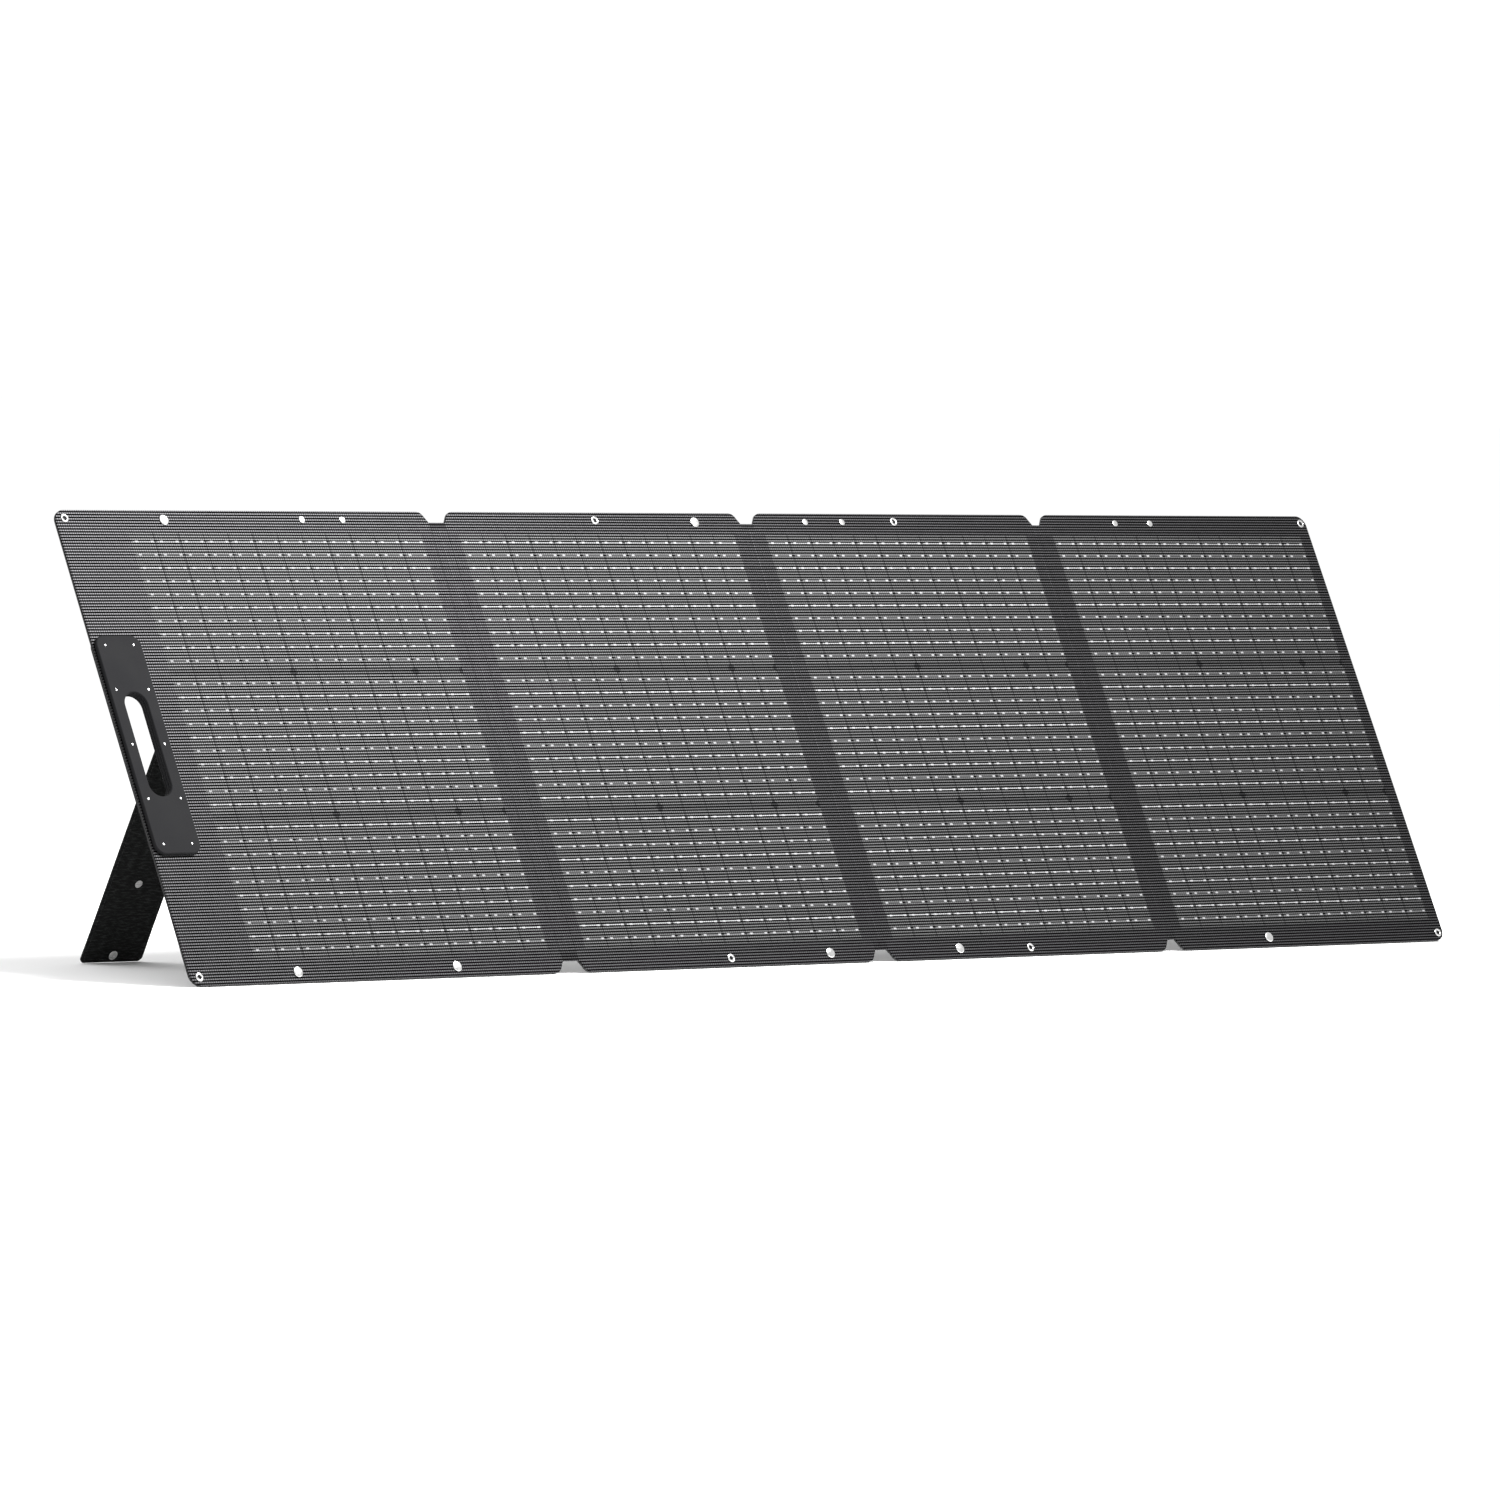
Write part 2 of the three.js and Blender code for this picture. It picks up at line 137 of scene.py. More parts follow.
class Shader:
    """A node material, with short calls for the nodes that the patterns use."""

    def __init__(self, name, colour, roughness, **sockets):
        self.material = bpy.data.materials.new(name)
        self.material.use_nodes = True
        self.tree = self.material.node_tree
        self.surface = self.tree.nodes["Principled BSDF"]
        self.set("Base Color", (*colour, 1))
        self.set("Roughness", roughness)
        for socket, value in sockets.items():
            self.set(socket.replace("_", " "), value)

    def set(self, socket, value):
        """Puts a number, a colour or another node's output on a socket of the shader."""
        self.put(self.surface.inputs[socket], value)

    def put(self, target, value):
        if isinstance(value, bpy.types.NodeSocket):
            self.tree.links.new(value, target)
        else:
            target.default_value = value

    def node(self, kind, **settings):
        made = self.tree.nodes.new(kind)
        for setting, value in settings.items():
            setattr(made, setting, value)
        return made

    def math(self, operation, *values):
        made = self.node("ShaderNodeMath", operation=operation)
        for target, value in zip(made.inputs, values):
            self.put(target, value)
        return made.outputs[0]

    def times(self, *values):
        product = values[0]
        for value in values[1:]:
            product = self.math("MULTIPLY", product, value)
        return product

    def fit(self, value, low, high, to_low=0.0, to_high=1.0):
        """value's range from low to high, smoothly mapped to the range from to_low to to_high."""
        made = self.node("ShaderNodeMapRange", interpolation_type="SMOOTHSTEP")
        for target, number in zip(made.inputs, (value, low, high, to_low, to_high)):
            self.put(target, number)
        return made.outputs[0]

    def mix(self, share, first, second):
        """A colour between two, share of the way to the second."""
        made = self.node("ShaderNodeMix", data_type="RGBA")
        self.put(made.inputs["Factor"], share)
        # A Mix node's colours are its sockets 6 and 7, and 2 on the way out.
        for target, colour in ((made.inputs[6], first), (made.inputs[7], second)):
            self.put(target, (*colour, 1) if isinstance(colour, tuple) else colour)
        return made.outputs[2]

    def uv(self, name="plane"):
        return self.node("ShaderNodeUVMap", uv_map=name).outputs[0]

    def split(self, vector):
        """A vector's x, y and z."""
        made = self.node("ShaderNodeSeparateXYZ")
        self.put(made.inputs[0], vector)
        return made.outputs

    def plane(self, name="plane"):
        """The x and y of a flat piece in millimetres, from one of its UV maps."""
        return [self.times(value, 1 / MM) for value in self.split(self.uv(name))[:2]]

    def place(self, scale=1.0):
        """The place of a point in the piece's own frame, in metres times scale."""
        mapping = self.node("ShaderNodeMapping")
        self.put(mapping.inputs[0], self.node("ShaderNodeTexCoord").outputs["Object"])
        mapping.inputs["Scale"].default_value = (scale,) * 3
        return mapping.outputs[0]

    def noise(self, vector, scale, detail=2.0):
        made = self.node("ShaderNodeTexNoise")
        self.put(made.inputs["Vector"], vector)
        made.inputs["Scale"].default_value = scale
        made.inputs["Detail"].default_value = detail
        return made.outputs["Fac"]

    def lines(self, value, pitch, width, soft):
        """1 on lines centred on the multiples of pitch, 0 between them, with edges soft wide."""
        distance = self.math("PINGPONG", value, pitch / 2)
        return self.fit(distance, (width - soft) / 2, (width + soft) / 2, 1.0, 0.0)

    def within(self, value, low, high, soft=0.3):
        """1 between low and high, 0 outside."""
        rise = self.fit(value, low - soft / 2, low + soft / 2)
        fall = self.fit(value, high - soft / 2, high + soft / 2, 1.0, 0.0)
        return self.times(rise, fall)

    def bump(self, height, distance, strength=1.0):
        made = self.node("ShaderNodeBump")
        made.inputs["Strength"].default_value = strength
        made.inputs["Distance"].default_value = distance
        self.put(made.inputs["Height"], height)
        self.set("Normal", made.outputs[0])


def tint(colour, share):
    """A colour made lighter or darker."""
    return tuple(share * c for c in colour)


# The face film: rows of small raised squares over everything. A row dips between its squares, and is a little
# over full height on them. Between the rows the colour is painted dark, as shade in the valleys, down to a
# small share.
RELIEF_ROW_PITCH = 3.8
RELIEF_ROW = 1.6
RELIEF_ROW_SOFT = 0.5
RELIEF_COLUMN_PITCH = 3.4
RELIEF_COLUMN = 2.3
RELIEF_COLUMN_SOFT = 0.8
RELIEF_DIP = 0.4
RELIEF_TOP = 1.06
RELIEF_HEIGHT = 0.12 * MM
VALLEY_SHADED_TO = 0.015
VALLEY_ROUGHNESS = 0.8
TOP_ROUGHNESS = 0.47

# The cells under the film: strips side by side in three rows, with dark slots and gaps between them
STRIPS = 12
STRIP_PITCH = 38.4
SLOT = 2.0
SLOT_LINE = 1.5
SLOT_SOFT = 0.6
ROWS = 3
ROW_PITCH = 188.5
CELL = 182.0
ROW_GAP = ROW_PITCH - CELL
GAP_SOFT = 0.8
GAP_SHADE = 0.55
CELLS_WIDTH = STRIPS * STRIP_PITCH - SLOT
CELLS_HEIGHT = (ROWS - 1) * ROW_PITCH + CELL

# Ribbons cross every strip, each with a wider pad near its ends.
RIBBONS_START = 12.5
RIBBON_PITCH = 17.6
RIBBON_WIDTH = 1.2
RIBBON_END = 1.6
RIBBON_SOFT = 0.4
PAD_LENGTH = 4.6
PAD_WIDTH = 2.2
PAD_SOFT = 0.8
PADS_AT = (8.4, 32.4)

# Where four chamfered cell corners meet, a dark diamond shows.
CORNER_STRIPS = 5
CORNER_SIZE = 6.8
CORNER_SOFT = 2.0

MARGIN_COLOUR = (0.0465, 0.0459, 0.0478)
CELL_COLOUR = (0.0710, 0.0710, 0.0718)
SLOT_COLOUR = (0.031, 0.031, 0.032)
CORNER_COLOUR = (0.021, 0.021, 0.022)
RIBBON_COLOUR = (0.24, 0.24, 0.244)
# How far the ribbons and their pads lift the painted valley shade where they lie under the film
RIBBON_SHADE_LIFT = 0.2
PAD_SHADE_LIFT = 0.72
MARGIN_METAL = 0.62
CELL_METAL = 0.36
RIBBON_METAL_SHARE = 0.2


def relief(shader, x, y):
    """The film's raised squares, 1 on top of them."""
    rows = shader.lines(y, RELIEF_ROW_PITCH, RELIEF_ROW, RELIEF_ROW_SOFT)
    columns = shader.lines(x, RELIEF_COLUMN_PITCH, RELIEF_COLUMN, RELIEF_COLUMN_SOFT)
    columns = shader.fit(columns, 0.0, 1.0, RELIEF_DIP, RELIEF_TOP)
    return shader.times(rows, columns)


def cell_gaps(shader, x, y):
    """How dark the slots between the strips and the gaps between the rows are."""
    slots = shader.lines(shader.math("ADD", x, SLOT / 2), STRIP_PITCH, SLOT_LINE, SLOT_SOFT)
    gaps = shader.lines(shader.math("ADD", y, ROW_GAP / 2), ROW_PITCH, ROW_GAP, GAP_SOFT)
    return shader.math("MAXIMUM", slots, shader.times(gaps, GAP_SHADE))


def cell_corners(shader, x, y):
    """1 in the diamonds where cell corners meet, 0 elsewhere."""
    across = shader.math("PINGPONG", shader.math("ADD", x, SLOT / 2), CORNER_STRIPS * STRIP_PITCH / 2)
    from_right = shader.math("ABSOLUTE", shader.math("SUBTRACT", x, CELLS_WIDTH))
    across = shader.math("MINIMUM", across, from_right)
    upward = shader.math("PINGPONG", shader.math("ADD", y, ROW_GAP / 2), ROW_PITCH / 2)
    low, high = CORNER_SIZE - CORNER_SOFT / 2, CORNER_SIZE + CORNER_SOFT / 2
    corners = shader.fit(shader.math("ADD", across, upward), low, high, 1.0, 0.0)
    corners = shader.times(corners, shader.within(x, CELL / 4, CELLS_WIDTH))
    return shader.times(corners, shader.within(y, CELL / 2, CELLS_HEIGHT - CELL / 2))


def cell_ribbons(shader, x, y, clear):
    """1 on the ribbons, and 1 on their pads, where clear is 1 too."""
    along = shader.math("MODULO", x, STRIP_PITCH)
    row_y = shader.math("MODULO", y, ROW_PITCH)
    up = shader.math("SUBTRACT", row_y, RIBBONS_START)
    clear = shader.times(clear, shader.within(row_y, RIBBONS_START / 2, CELL - RIBBONS_START / 2))
    ribbons = shader.lines(up, RIBBON_PITCH, RIBBON_WIDTH, RIBBON_SOFT)
    reach = shader.within(along, RIBBON_END, STRIP_PITCH - SLOT - RIBBON_END)
    ribbons = shader.times(ribbons, reach)
    pads = shader.lines(up, RIBBON_PITCH, PAD_WIDTH, RIBBON_SOFT)
    ends = [shader.within(along, at - PAD_LENGTH / 2, at + PAD_LENGTH / 2, PAD_SOFT) for at in PADS_AT]
    pads = shader.times(pads, shader.math("MAXIMUM", *ends))
    return [shader.times(mask, clear) for mask in (ribbons, pads)]


def cells_below(shader):
    """The colour of the cells, and where the cells, their ribbons and the ribbons' pads are."""
    x, y = shader.plane("cells")
    inside = shader.times(shader.within(x, 0, CELLS_WIDTH), shader.within(y, 0, CELLS_HEIGHT))
    dark = cell_gaps(shader, x, y)
    corners = cell_corners(shader, x, y)
    clear = shader.math("SUBTRACT", 1.0, shader.math("MAXIMUM", dark, corners))
    ribbons, pads = cell_ribbons(shader, x, y, shader.times(clear, inside))
    cloudy = shader.noise(shader.uv(), scale=9.0)
    cell = shader.mix(cloudy, tint(CELL_COLOUR, 0.94), tint(CELL_COLOUR, 1.06))
    cell = shader.mix(dark, cell, SLOT_COLOUR)
    return shader.mix(corners, cell, CORNER_COLOUR), inside, ribbons, pads


def film_material(name, with_cells):
    """The dotted outer film, with or without cells below it, its valleys painted dark as shade."""
    shader = Shader(name, MARGIN_COLOUR, 0.5, Specular_IOR_Level=0.0, Metallic=MARGIN_METAL)
    raised = relief(shader, *shader.plane())
    cloudy = shader.noise(shader.uv(), scale=40.0)
    below = shader.mix(cloudy, tint(MARGIN_COLOUR, 0.9), tint(MARGIN_COLOUR, 1.1))
    # The valleys between the raised squares are painted nearly black, as the shade that falls in them.
    shade = shader.fit(raised, 0.0, 1.0, VALLEY_SHADED_TO, 1.0)
    if with_cells:
        cells, inside, ribbons, pads = cells_below(shader)
        bright = shader.math("MAXIMUM", ribbons, pads)
        below = shader.mix(inside, below, cells)
        below = shader.mix(bright, below, RIBBON_COLOUR)
        # Where ribbons and pads lie under the film, the painted valley shade is lifted.
        shade_lift = shader.times(ribbons, RIBBON_SHADE_LIFT)
        shade_lift = shader.math("MAXIMUM", shade_lift, shader.times(pads, PAD_SHADE_LIFT))
        shade = shader.math("MAXIMUM", shade, shade_lift)
        metal = shader.fit(inside, 0.0, 1.0, MARGIN_METAL, CELL_METAL)
        dulled = shader.fit(bright, 0.0, 1.0, 1.0, RIBBON_METAL_SHARE)
        shader.set("Metallic", shader.times(metal, dulled))
    shader.set("Base Color", shader.mix(shade, (0.0, 0.0, 0.0), below))
    shader.set("Roughness", shader.fit(raised, 0.0, 1.0, VALLEY_ROUGHNESS, TOP_ROUGHNESS))
    shader.bump(raised, distance=RELIEF_HEIGHT, strength=0.6)
    return shader.material


THREAD_SHOULDER = 0.55
BRIGHTEST_SHADE_AND_TONE = 4.0


def weave_material(name, colour, pitch, rib=1.0, depth=0.22 * MM, slub=0.3, gloss=0.25, sheen=0.08):
    """Plain woven cloth with its own thread pitch in millimetres. rib is how strongly its rows stand out."""
    shader = Shader(name, colour, 0.86, Specular_IOR_Level=gloss, Sheen_Weight=sheen, Sheen_Roughness=0.5)
    x, y = [shader.math("DIVIDE", value, pitch) for value in shader.plane()]
    arch_x = shader.math("ABSOLUTE", shader.math("SINE", shader.times(x, math.pi)))
    arch_y = shader.math("ABSOLUTE", shader.math("SINE", shader.times(y, math.pi)))
    count = shader.math("ADD", shader.math("FLOOR", x), shader.math("FLOOR", y))
    over = shader.math("PINGPONG", count, 1.0)
    across = shader.times(arch_y, shader.fit(arch_x, 0.0, 1.0, THREAD_SHOULDER, 1.0))
    upward = shader.times(arch_x, shader.fit(arch_y, 0.0, 1.0, THREAD_SHOULDER, 1.0))
    across = shader.times(across, shader.times(over, rib))
    upward = shader.times(upward, shader.math("SUBTRACT", 1.0, over))
    threads = shader.math("ADD", across, upward)
    worn = shader.noise(shader.uv(), scale=14.0, detail=4.0)
    # Slubs: short lengths of thicker thread that run across
    stretch = shader.node("ShaderNodeMapping")
    shader.put(stretch.inputs[0], shader.uv())
    stretch.inputs["Scale"].default_value = (0.25, 1.0, 1.0)
    slubs = shader.noise(stretch.outputs[0], scale=420.0)
    # The thread crowns are painted lighter and the hollows between the threads darker, as painted light and
    # shade; the worn patches and slubs are the cloth's own variation.
    shade_and_tone = shader.fit(threads, 0.0, 1.0, 0.3, 1.45)
    shade_and_tone = shader.times(shade_and_tone, shader.fit(worn, 0.25, 0.75, 0.9, 1.12))
    shade_and_tone = shader.times(shade_and_tone, shader.fit(slubs, 0.4, 0.75, 1.0 - 0.35 * slub, 1.0 + 2.2 * slub))
    # A mix ends at its second colour, so the painted shade and the cloth's own variation are a share of the
    # brightest colour.
    share = shader.math("DIVIDE", shade_and_tone, BRIGHTEST_SHADE_AND_TONE)
    shader.set("Base Color", shader.mix(share, (0, 0, 0), tint(colour, BRIGHTEST_SHADE_AND_TONE)))
    shader.bump(threads, distance=depth, strength=0.8)
    return shader.material


def plastic_material(name, colour, roughness):
    """Moulded plastic with a fine eroded grain and slightly rubbed high spots."""
    shader = Shader(name, colour, roughness, Specular_IOR_Level=0.08)
    place = shader.place()
    fine = shader.noise(place, scale=1500.0, detail=3.0)
    broad = shader.noise(place, scale=18.0, detail=4.0)
    shader.set("Base Color", shader.mix(shader.fit(broad, 0.3, 0.7), tint(colour, 0.86), tint(colour, 1.14)))
    shader.set("Roughness", shader.fit(broad, 0.3, 0.7, roughness - 0.05, roughness + 0.06))
    shader.bump(fine, distance=0.03 * MM, strength=0.7)
    return shader.material


def metal_material(name, colour, roughness, metallic=1.0):
    """Plated metal with faint turning marks and wear in its gloss."""
    shader = Shader(name, colour, roughness, Metallic=metallic)
    place = shader.place()
    broad = shader.noise(place, scale=220.0, detail=3.0)
    shader.set("Base Color", shader.mix(broad, tint(colour, 0.9), colour))
    shader.set("Roughness", shader.fit(broad, 0.3, 0.7, roughness - 0.06, roughness + 0.1))
    shader.bump(shader.noise(place, scale=3000.0), distance=0.01 * MM, strength=0.4)
    return shader.material


def silicon_material():
    """Bare silicon with fine printed fingers."""
    shader = Shader("silicon", (0.012, 0.014, 0.024), 0.28, Specular_IOR_Level=0.6)
    across = shader.split(shader.place(1 / MM))[0]
    fingers = shader.lines(across, pitch=1.6, width=0.16, soft=0.06)
    shader.set("Base Color", shader.mix(fingers, (0.010, 0.012, 0.022), (0.34, 0.34, 0.36)))
    shader.set("Roughness", shader.fit(fingers, 0.0, 1.0, 0.26, 0.5))
    return shader.material


def laminate_material():
    """Glass-fibre board with its fibre cross-hatch."""
    shader = Shader("glass_fibre", (0.46, 0.43, 0.29), 0.55)
    across, _, upward = shader.split(shader.place(1 / MM))
    threads = [shader.lines(value, pitch=2.2, width=1.1, soft=0.8) for value in (across, upward)]
    weave = shader.times(shader.math("ADD", *threads), 0.5)
    shader.set("Base Color", shader.mix(weave, (0.36, 0.34, 0.22), (0.55, 0.52, 0.36)))
    shader.bump(weave, distance=0.04 * MM)
    return shader.material


FILM = film_material("film_over_cells", with_cells=True)
PLAIN_FILM = film_material("film_margin", with_cells=False)
FABRIC = weave_material("case_cloth", (0.016, 0.0165, 0.017), pitch=1.3)
LEG_CLOTH = weave_material(
    "leg_cloth", (0.0092, 0.0098, 0.0096), 2.1, rib=1.6, depth=0.3 * MM, slub=0.8, gloss=0.08, sheen=0.02
)
THREAD = weave_material("sewing_thread", (0.030, 0.031, 0.031), pitch=0.5, depth=0.1 * MM)
NICKEL = metal_material("nickel", (0.57, 0.57, 0.565), roughness=0.22)
# Dark metal for the eyelets' bores: painted shade inside the tube.
BORE_SHADE_METAL = metal_material("nickel_painted_shade", (0.07, 0.07, 0.072), roughness=0.5)
ZINC = metal_material("zinc", (0.88, 0.88, 0.87), roughness=0.32, metallic=0.6)
STEEL = metal_material("screw_steel", (0.36, 0.36, 0.365), roughness=0.3)
BRASS = metal_material("brass", (0.72, 0.53, 0.26), roughness=0.32)
HANDLE_PLASTIC = plastic_material("handle_plastic", (0.0068, 0.0068, 0.0075), roughness=0.82)
BOX_PLASTIC = plastic_material("box_plastic", (0.014, 0.014, 0.0152), roughness=0.5)
RUBBER = plastic_material("gland_rubber", (0.012, 0.012, 0.012), roughness=0.75)
SILICON = silicon_material()
GLASS_FIBRE = laminate_material()

# ---------------------------------------------------------------- outlines and solids


def arc(x, y, radius, start, end, steps):
    """Points on an arc, its angles in quarter turns."""
    angles = [math.pi / 2 * (start + (end - start) * i / steps) for i in range(steps + 1)]
    return [(x + radius * math.cos(a), y + radius * math.sin(a)) for a in angles]


def circle(x, y, radius, steps):
    return arc(x, y, radius, 0, 4, steps)[:-1]


def rounded_box(x, y, width, height, radius, steps=8):
    """An anticlockwise rectangle with round corners."""
    dx = width / 2 - radius
    dy = height / 2 - radius
    points = []
    for i, (cx, cy) in enumerate([(dx, dy), (-dx, dy), (-dx, -dy), (dx, -dy)]):
        points += arc(x + cx, y + cy, radius, i, i + 1, steps)
    return points


def inset(loop, amount):
    """A closed loop moved to its left by amount: inwards if it runs anticlockwise."""
    moved = []
    for i, (x, y) in enumerate(loop):
        last, following = loop[i - 1], loop[(i + 1) % len(loop)]
        before = Vector((x - last[0], y - last[1])).normalized()
        after = Vector((following[0] - x, following[1] - y)).normalized()
        lefts = Vector((-before.y - after.y, before.x + after.x))
        step = lefts * (amount / (1 + before.dot(after)))
        moved.append((x + step.x, y + step.y))
    return moved


def ring(bm, loop, z):
    return [bm.verts.new((x, y, z)) for x, y in loop]


def bridge(bm, first, second, smooth=True):
    """Faces between two rings of as many points, or between a ring and a single point."""
    sides = max(len(first), len(second))
    for i in range(sides if sides > 1 else 0):
        ends = ((first, i - 1), (first, i), (second, i), (second, i - 1))
        corners = [row[k % len(row)] for row, k in ends]
        bm.faces.new(list(dict.fromkeys(corners))).smooth = smooth


def skin(bm, rings):
    """Faces from each ring to the next."""
    for first, second in zip(rings, rings[1:]):
        bridge(bm, first, second)


def cap(bm, rings):
    """Flat faces that fill a ring, leaving out the rings inside it."""
    points = [[v.co for v in one] for one in rings]
    flat = [v for one in rings for v in one]
    for a, b, c in tessellate_polygon(points):
        bm.faces.new((flat[a], flat[b], flat[c])).smooth = False


def walls(bm, loops, profile):
    """The side walls of a plate's outlines, each with the same [inset, z] profile. Gives their end rings."""
    ends = []
    for loop in loops:
        rings = [ring(bm, inset(loop, depth), z) for depth, z in profile]
        skin(bm, rings)
        ends.append((rings[0], rings[-1]))
    return [end[0] for end in ends], [end[1] for end in ends]


def hollow(bm, loop, mouth_z, floor_z):
    """The wall of a recess. Gives the rings of its mouth and its floor."""
    mouth, floor = (ring(bm, list(reversed(loop)), z) for z in (mouth_z, floor_z))
    bridge(bm, mouth, floor, smooth=False)
    return mouth, floor


def slab(bm, outline, holes, profile):
    """A plate with the same edge profile all round: [inset, z] pairs from one face to the other."""
    fronts, backs = walls(bm, [outline, *[list(reversed(hole)) for hole in holes]], profile)
    cap(bm, fronts)
    cap(bm, backs)


def soft_edge(front, back, front_radius, back_radius, steps=3):
    """The profile of a plate's edge, with a round at the front and one at the back."""
    turns = [math.pi / 2 * i / steps for i in range(steps + 1)]
    rounds = [(1 - math.sin(t), 1 - math.cos(t)) for t in turns]
    near = [(front_radius * a, front - front_radius * b) for a, b in rounds]
    far = [(back_radius * b, back + back_radius * a) for a, b in rounds]
    return near + far


def lathe(bm, profile, x, y, steps=40):
    """A turned solid about z. The profile's (radius, z) points run round its section."""
    rings = []
    for radius, z in profile:
        loop = [(x, y)] if radius < 1e-6 else circle(x, y, radius, steps)
        rings.append(ring(bm, loop, z))
    skin(bm, rings + rings[:1])


def dome(radius, base, rise, rim, steps=7):
    """The profile of a low dome, from its edge, rim above base, up to its middle at rise."""
    points = []
    for i in range(steps + 1):
        turn = math.pi / 2 * i / steps
        points.append((radius * math.cos(turn), base + rim + (rise - base - rim) * math.sin(turn)))
    return points


STITCH_SECTIONS = ((-0.32, 0.78), (0.0, 1.0), (0.32, 0.78))
STITCH_SIDES = 6


def stitch(bm, centre, along, z, length, radius):
    """One stitch: a small spindle with its ends at z."""
    side = Vector((-along.y, along.x))
    tips = [bm.verts.new((*(centre + along * (s * length / 2)), z)) for s in (-1, 1)]
    rings = []
    for share, fullness in STITCH_SECTIONS:
        row = []
        for k in range(STITCH_SIDES):
            angle = 2 * math.pi * k / STITCH_SIDES
            p = centre + along * (share * length) + side * (radius * fullness * math.cos(angle))
            row.append(bm.verts.new((p.x, p.y, z + radius * fullness * math.sin(angle))))
        rings.append(row)
    skin(bm, rings)
    bridge(bm, rings[0], tips[:1])
    bridge(bm, rings[-1], tips[1:])


def stitch_row(bm, path, z, pitch=5.0, length=3.7, radius=0.42, closed=False):
    """Stitches along a path, half sunk in the cloth, and evenly spaced at about the pitch."""
    points = [Vector(p) for p in path] + ([Vector(path[0])] if closed else [])
    runs = [(a, b, (b - a).length) for a, b in zip(points, points[1:]) if (b - a).length > 1e-6]
    total = sum(run[2] for run in runs)
    count = max(1, int(total // pitch))
    index = 0
    walked = 0.0
    for i in range(count):
        at = (i + 0.5) * total / count
        while index < len(runs) - 1 and walked + runs[index][2] < at:
            walked += runs[index][2]
            index += 1
        start, end, size = runs[index]
        along = (end - start) / size
        stitch(bm, start + along * (at - walked), along, z, length, radius)


def add_object(name, data, place=(0, 0, 0), turn=None):
    """A new object in the scene. turn is a quaternion."""
    made = bpy.data.objects.new(name, data)
    made.location = place
    if turn:
        made.rotation_mode = "QUATERNION"
        made.rotation_quaternion = turn
    bpy.context.scene.collection.objects.link(made)
    return made


def make(name, draw, material, body, stands_for=(), matrix=SLOPE, uv_from=None):
    """A piece drawn in millimetres by draw(bm), in a local frame, then made in metres in the row frame.

    Its "plane" UV map holds its local x and y in metres. uv_from adds a second one, "cells", that starts at
    that corner.
    """
    bm = bmesh.new()
    draw(bm)
    bmesh.ops.recalc_face_normals(bm, faces=bm.faces)
    maps = [("plane", (0.0, 0.0))] + ([("cells", uv_from)] if uv_from else [])
    for map_name, corner in maps:
        layer = bm.loops.layers.uv.new(map_name)
        for face in bm.faces:
            for loop in face.loops:
                x, y, _ = loop.vert.co
                loop[layer].uv = ((x - corner[0]) * MM, (y - corner[1]) * MM)
    bm.transform(matrix @ Matrix.Scale(MM, 4))
    mesh = bpy.data.meshes.new(name)
    bm.to_mesh(mesh)
    bm.free()
    mesh.materials.append(material)
    piece = add_object(name, mesh)
    if body:
        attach(piece, body)
    if stands_for:
        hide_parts(*stands_for)
    return piece


# ---------------------------------------------------------------- panels

CORNER_RADIUS = 15
NOTCH_DEPTH = HEIGHT - on_slope("fold_1_web_left")[1][1]
NOTCH_FLARE = 9
# A notch's mouth rounds off over this length of the edge, and its side is straight from these shares of its
# flare and depth.
NOTCH_EASE = 8
NOTCH_SIDE = (0.65, 0.38)
EYELET_HOLE = 3.6
STUD_HOLE = 2.4
FINGER_SLOT = (33, 135)
FINGER_SLOT_MARGIN = 1
HANDLE_REACH = on_slope("handle_front")


def fitting_places(prefix):
    """The middles of all CAD nodes whose names start so, in the slope frame."""
    found = sorted(name for name in frame["nodes"] if name.startswith(prefix))
    return {name: tuple(middle(reach) for reach in on_slope(name)[:2]) for name in found}


EYELETS = fitting_places("eyelet_")
STUDS = {**fitting_places("closure_stud"), **fitting_places("edge_stud")}
STUDS.update({name: place for name, place in fitting_places("leg_").items() if name.endswith("stow_stud")})


def body_at(x):
    """The panel that holds a place along the row."""
    return next(f"panel_{n}" for n, (left, right) in zip(PANELS, EDGES) if left <= x <= right)


def corner_points(is_fold, steps=10):
    """A panel corner as distances in from its side and from its edge, from the edge round to the side."""
    if not is_fold:
        return arc(CORNER_RADIUS, CORNER_RADIUS, CORNER_RADIUS, -1, -2, steps)
    straight = (NOTCH_FLARE * NOTCH_SIDE[0], NOTCH_DEPTH * NOTCH_SIDE[1])
    bend = [(NOTCH_FLARE + NOTCH_EASE, 0), (NOTCH_FLARE, 0), straight]
    points = []
    for i in range(steps + 1):
        t = i / steps
        weights = ((1 - t) ** 2, 2 * t * (1 - t), t * t)
        points.append(tuple(sum(w * p[k] for w, p in zip(weights, bend)) for k in (0, 1)))
    return [*points, (0, NOTCH_DEPTH)]


def panel_outline(index):
    """A panel's anticlockwise outline, with round outer corners and a half notch at each end of a fold."""
    left, right = EDGES[index]
    left_corner, right_corner = corner_points(index > 0), corner_points(index < 3)
    return (
        [(right - a, b) for a, b in right_corner]
        + [(right - a, HEIGHT - b) for a, b in reversed(right_corner)]
        + [(left + a, HEIGHT - b) for a, b in left_corner]
        + [(left + a, b) for a, b in reversed(left_corner)]
    )


def slot_outline(margin=0.0, flat=0.02, steps=16):
    """The handle's finger slot, grown by a margin all round. Its round ends leave a flat of this length."""
    width, height = (size + 2 * margin for size in FINGER_SLOT)
    return rounded_box(middle(HANDLE_REACH[0]), HEIGHT / 2, width, height, (width - flat) / 2, steps)


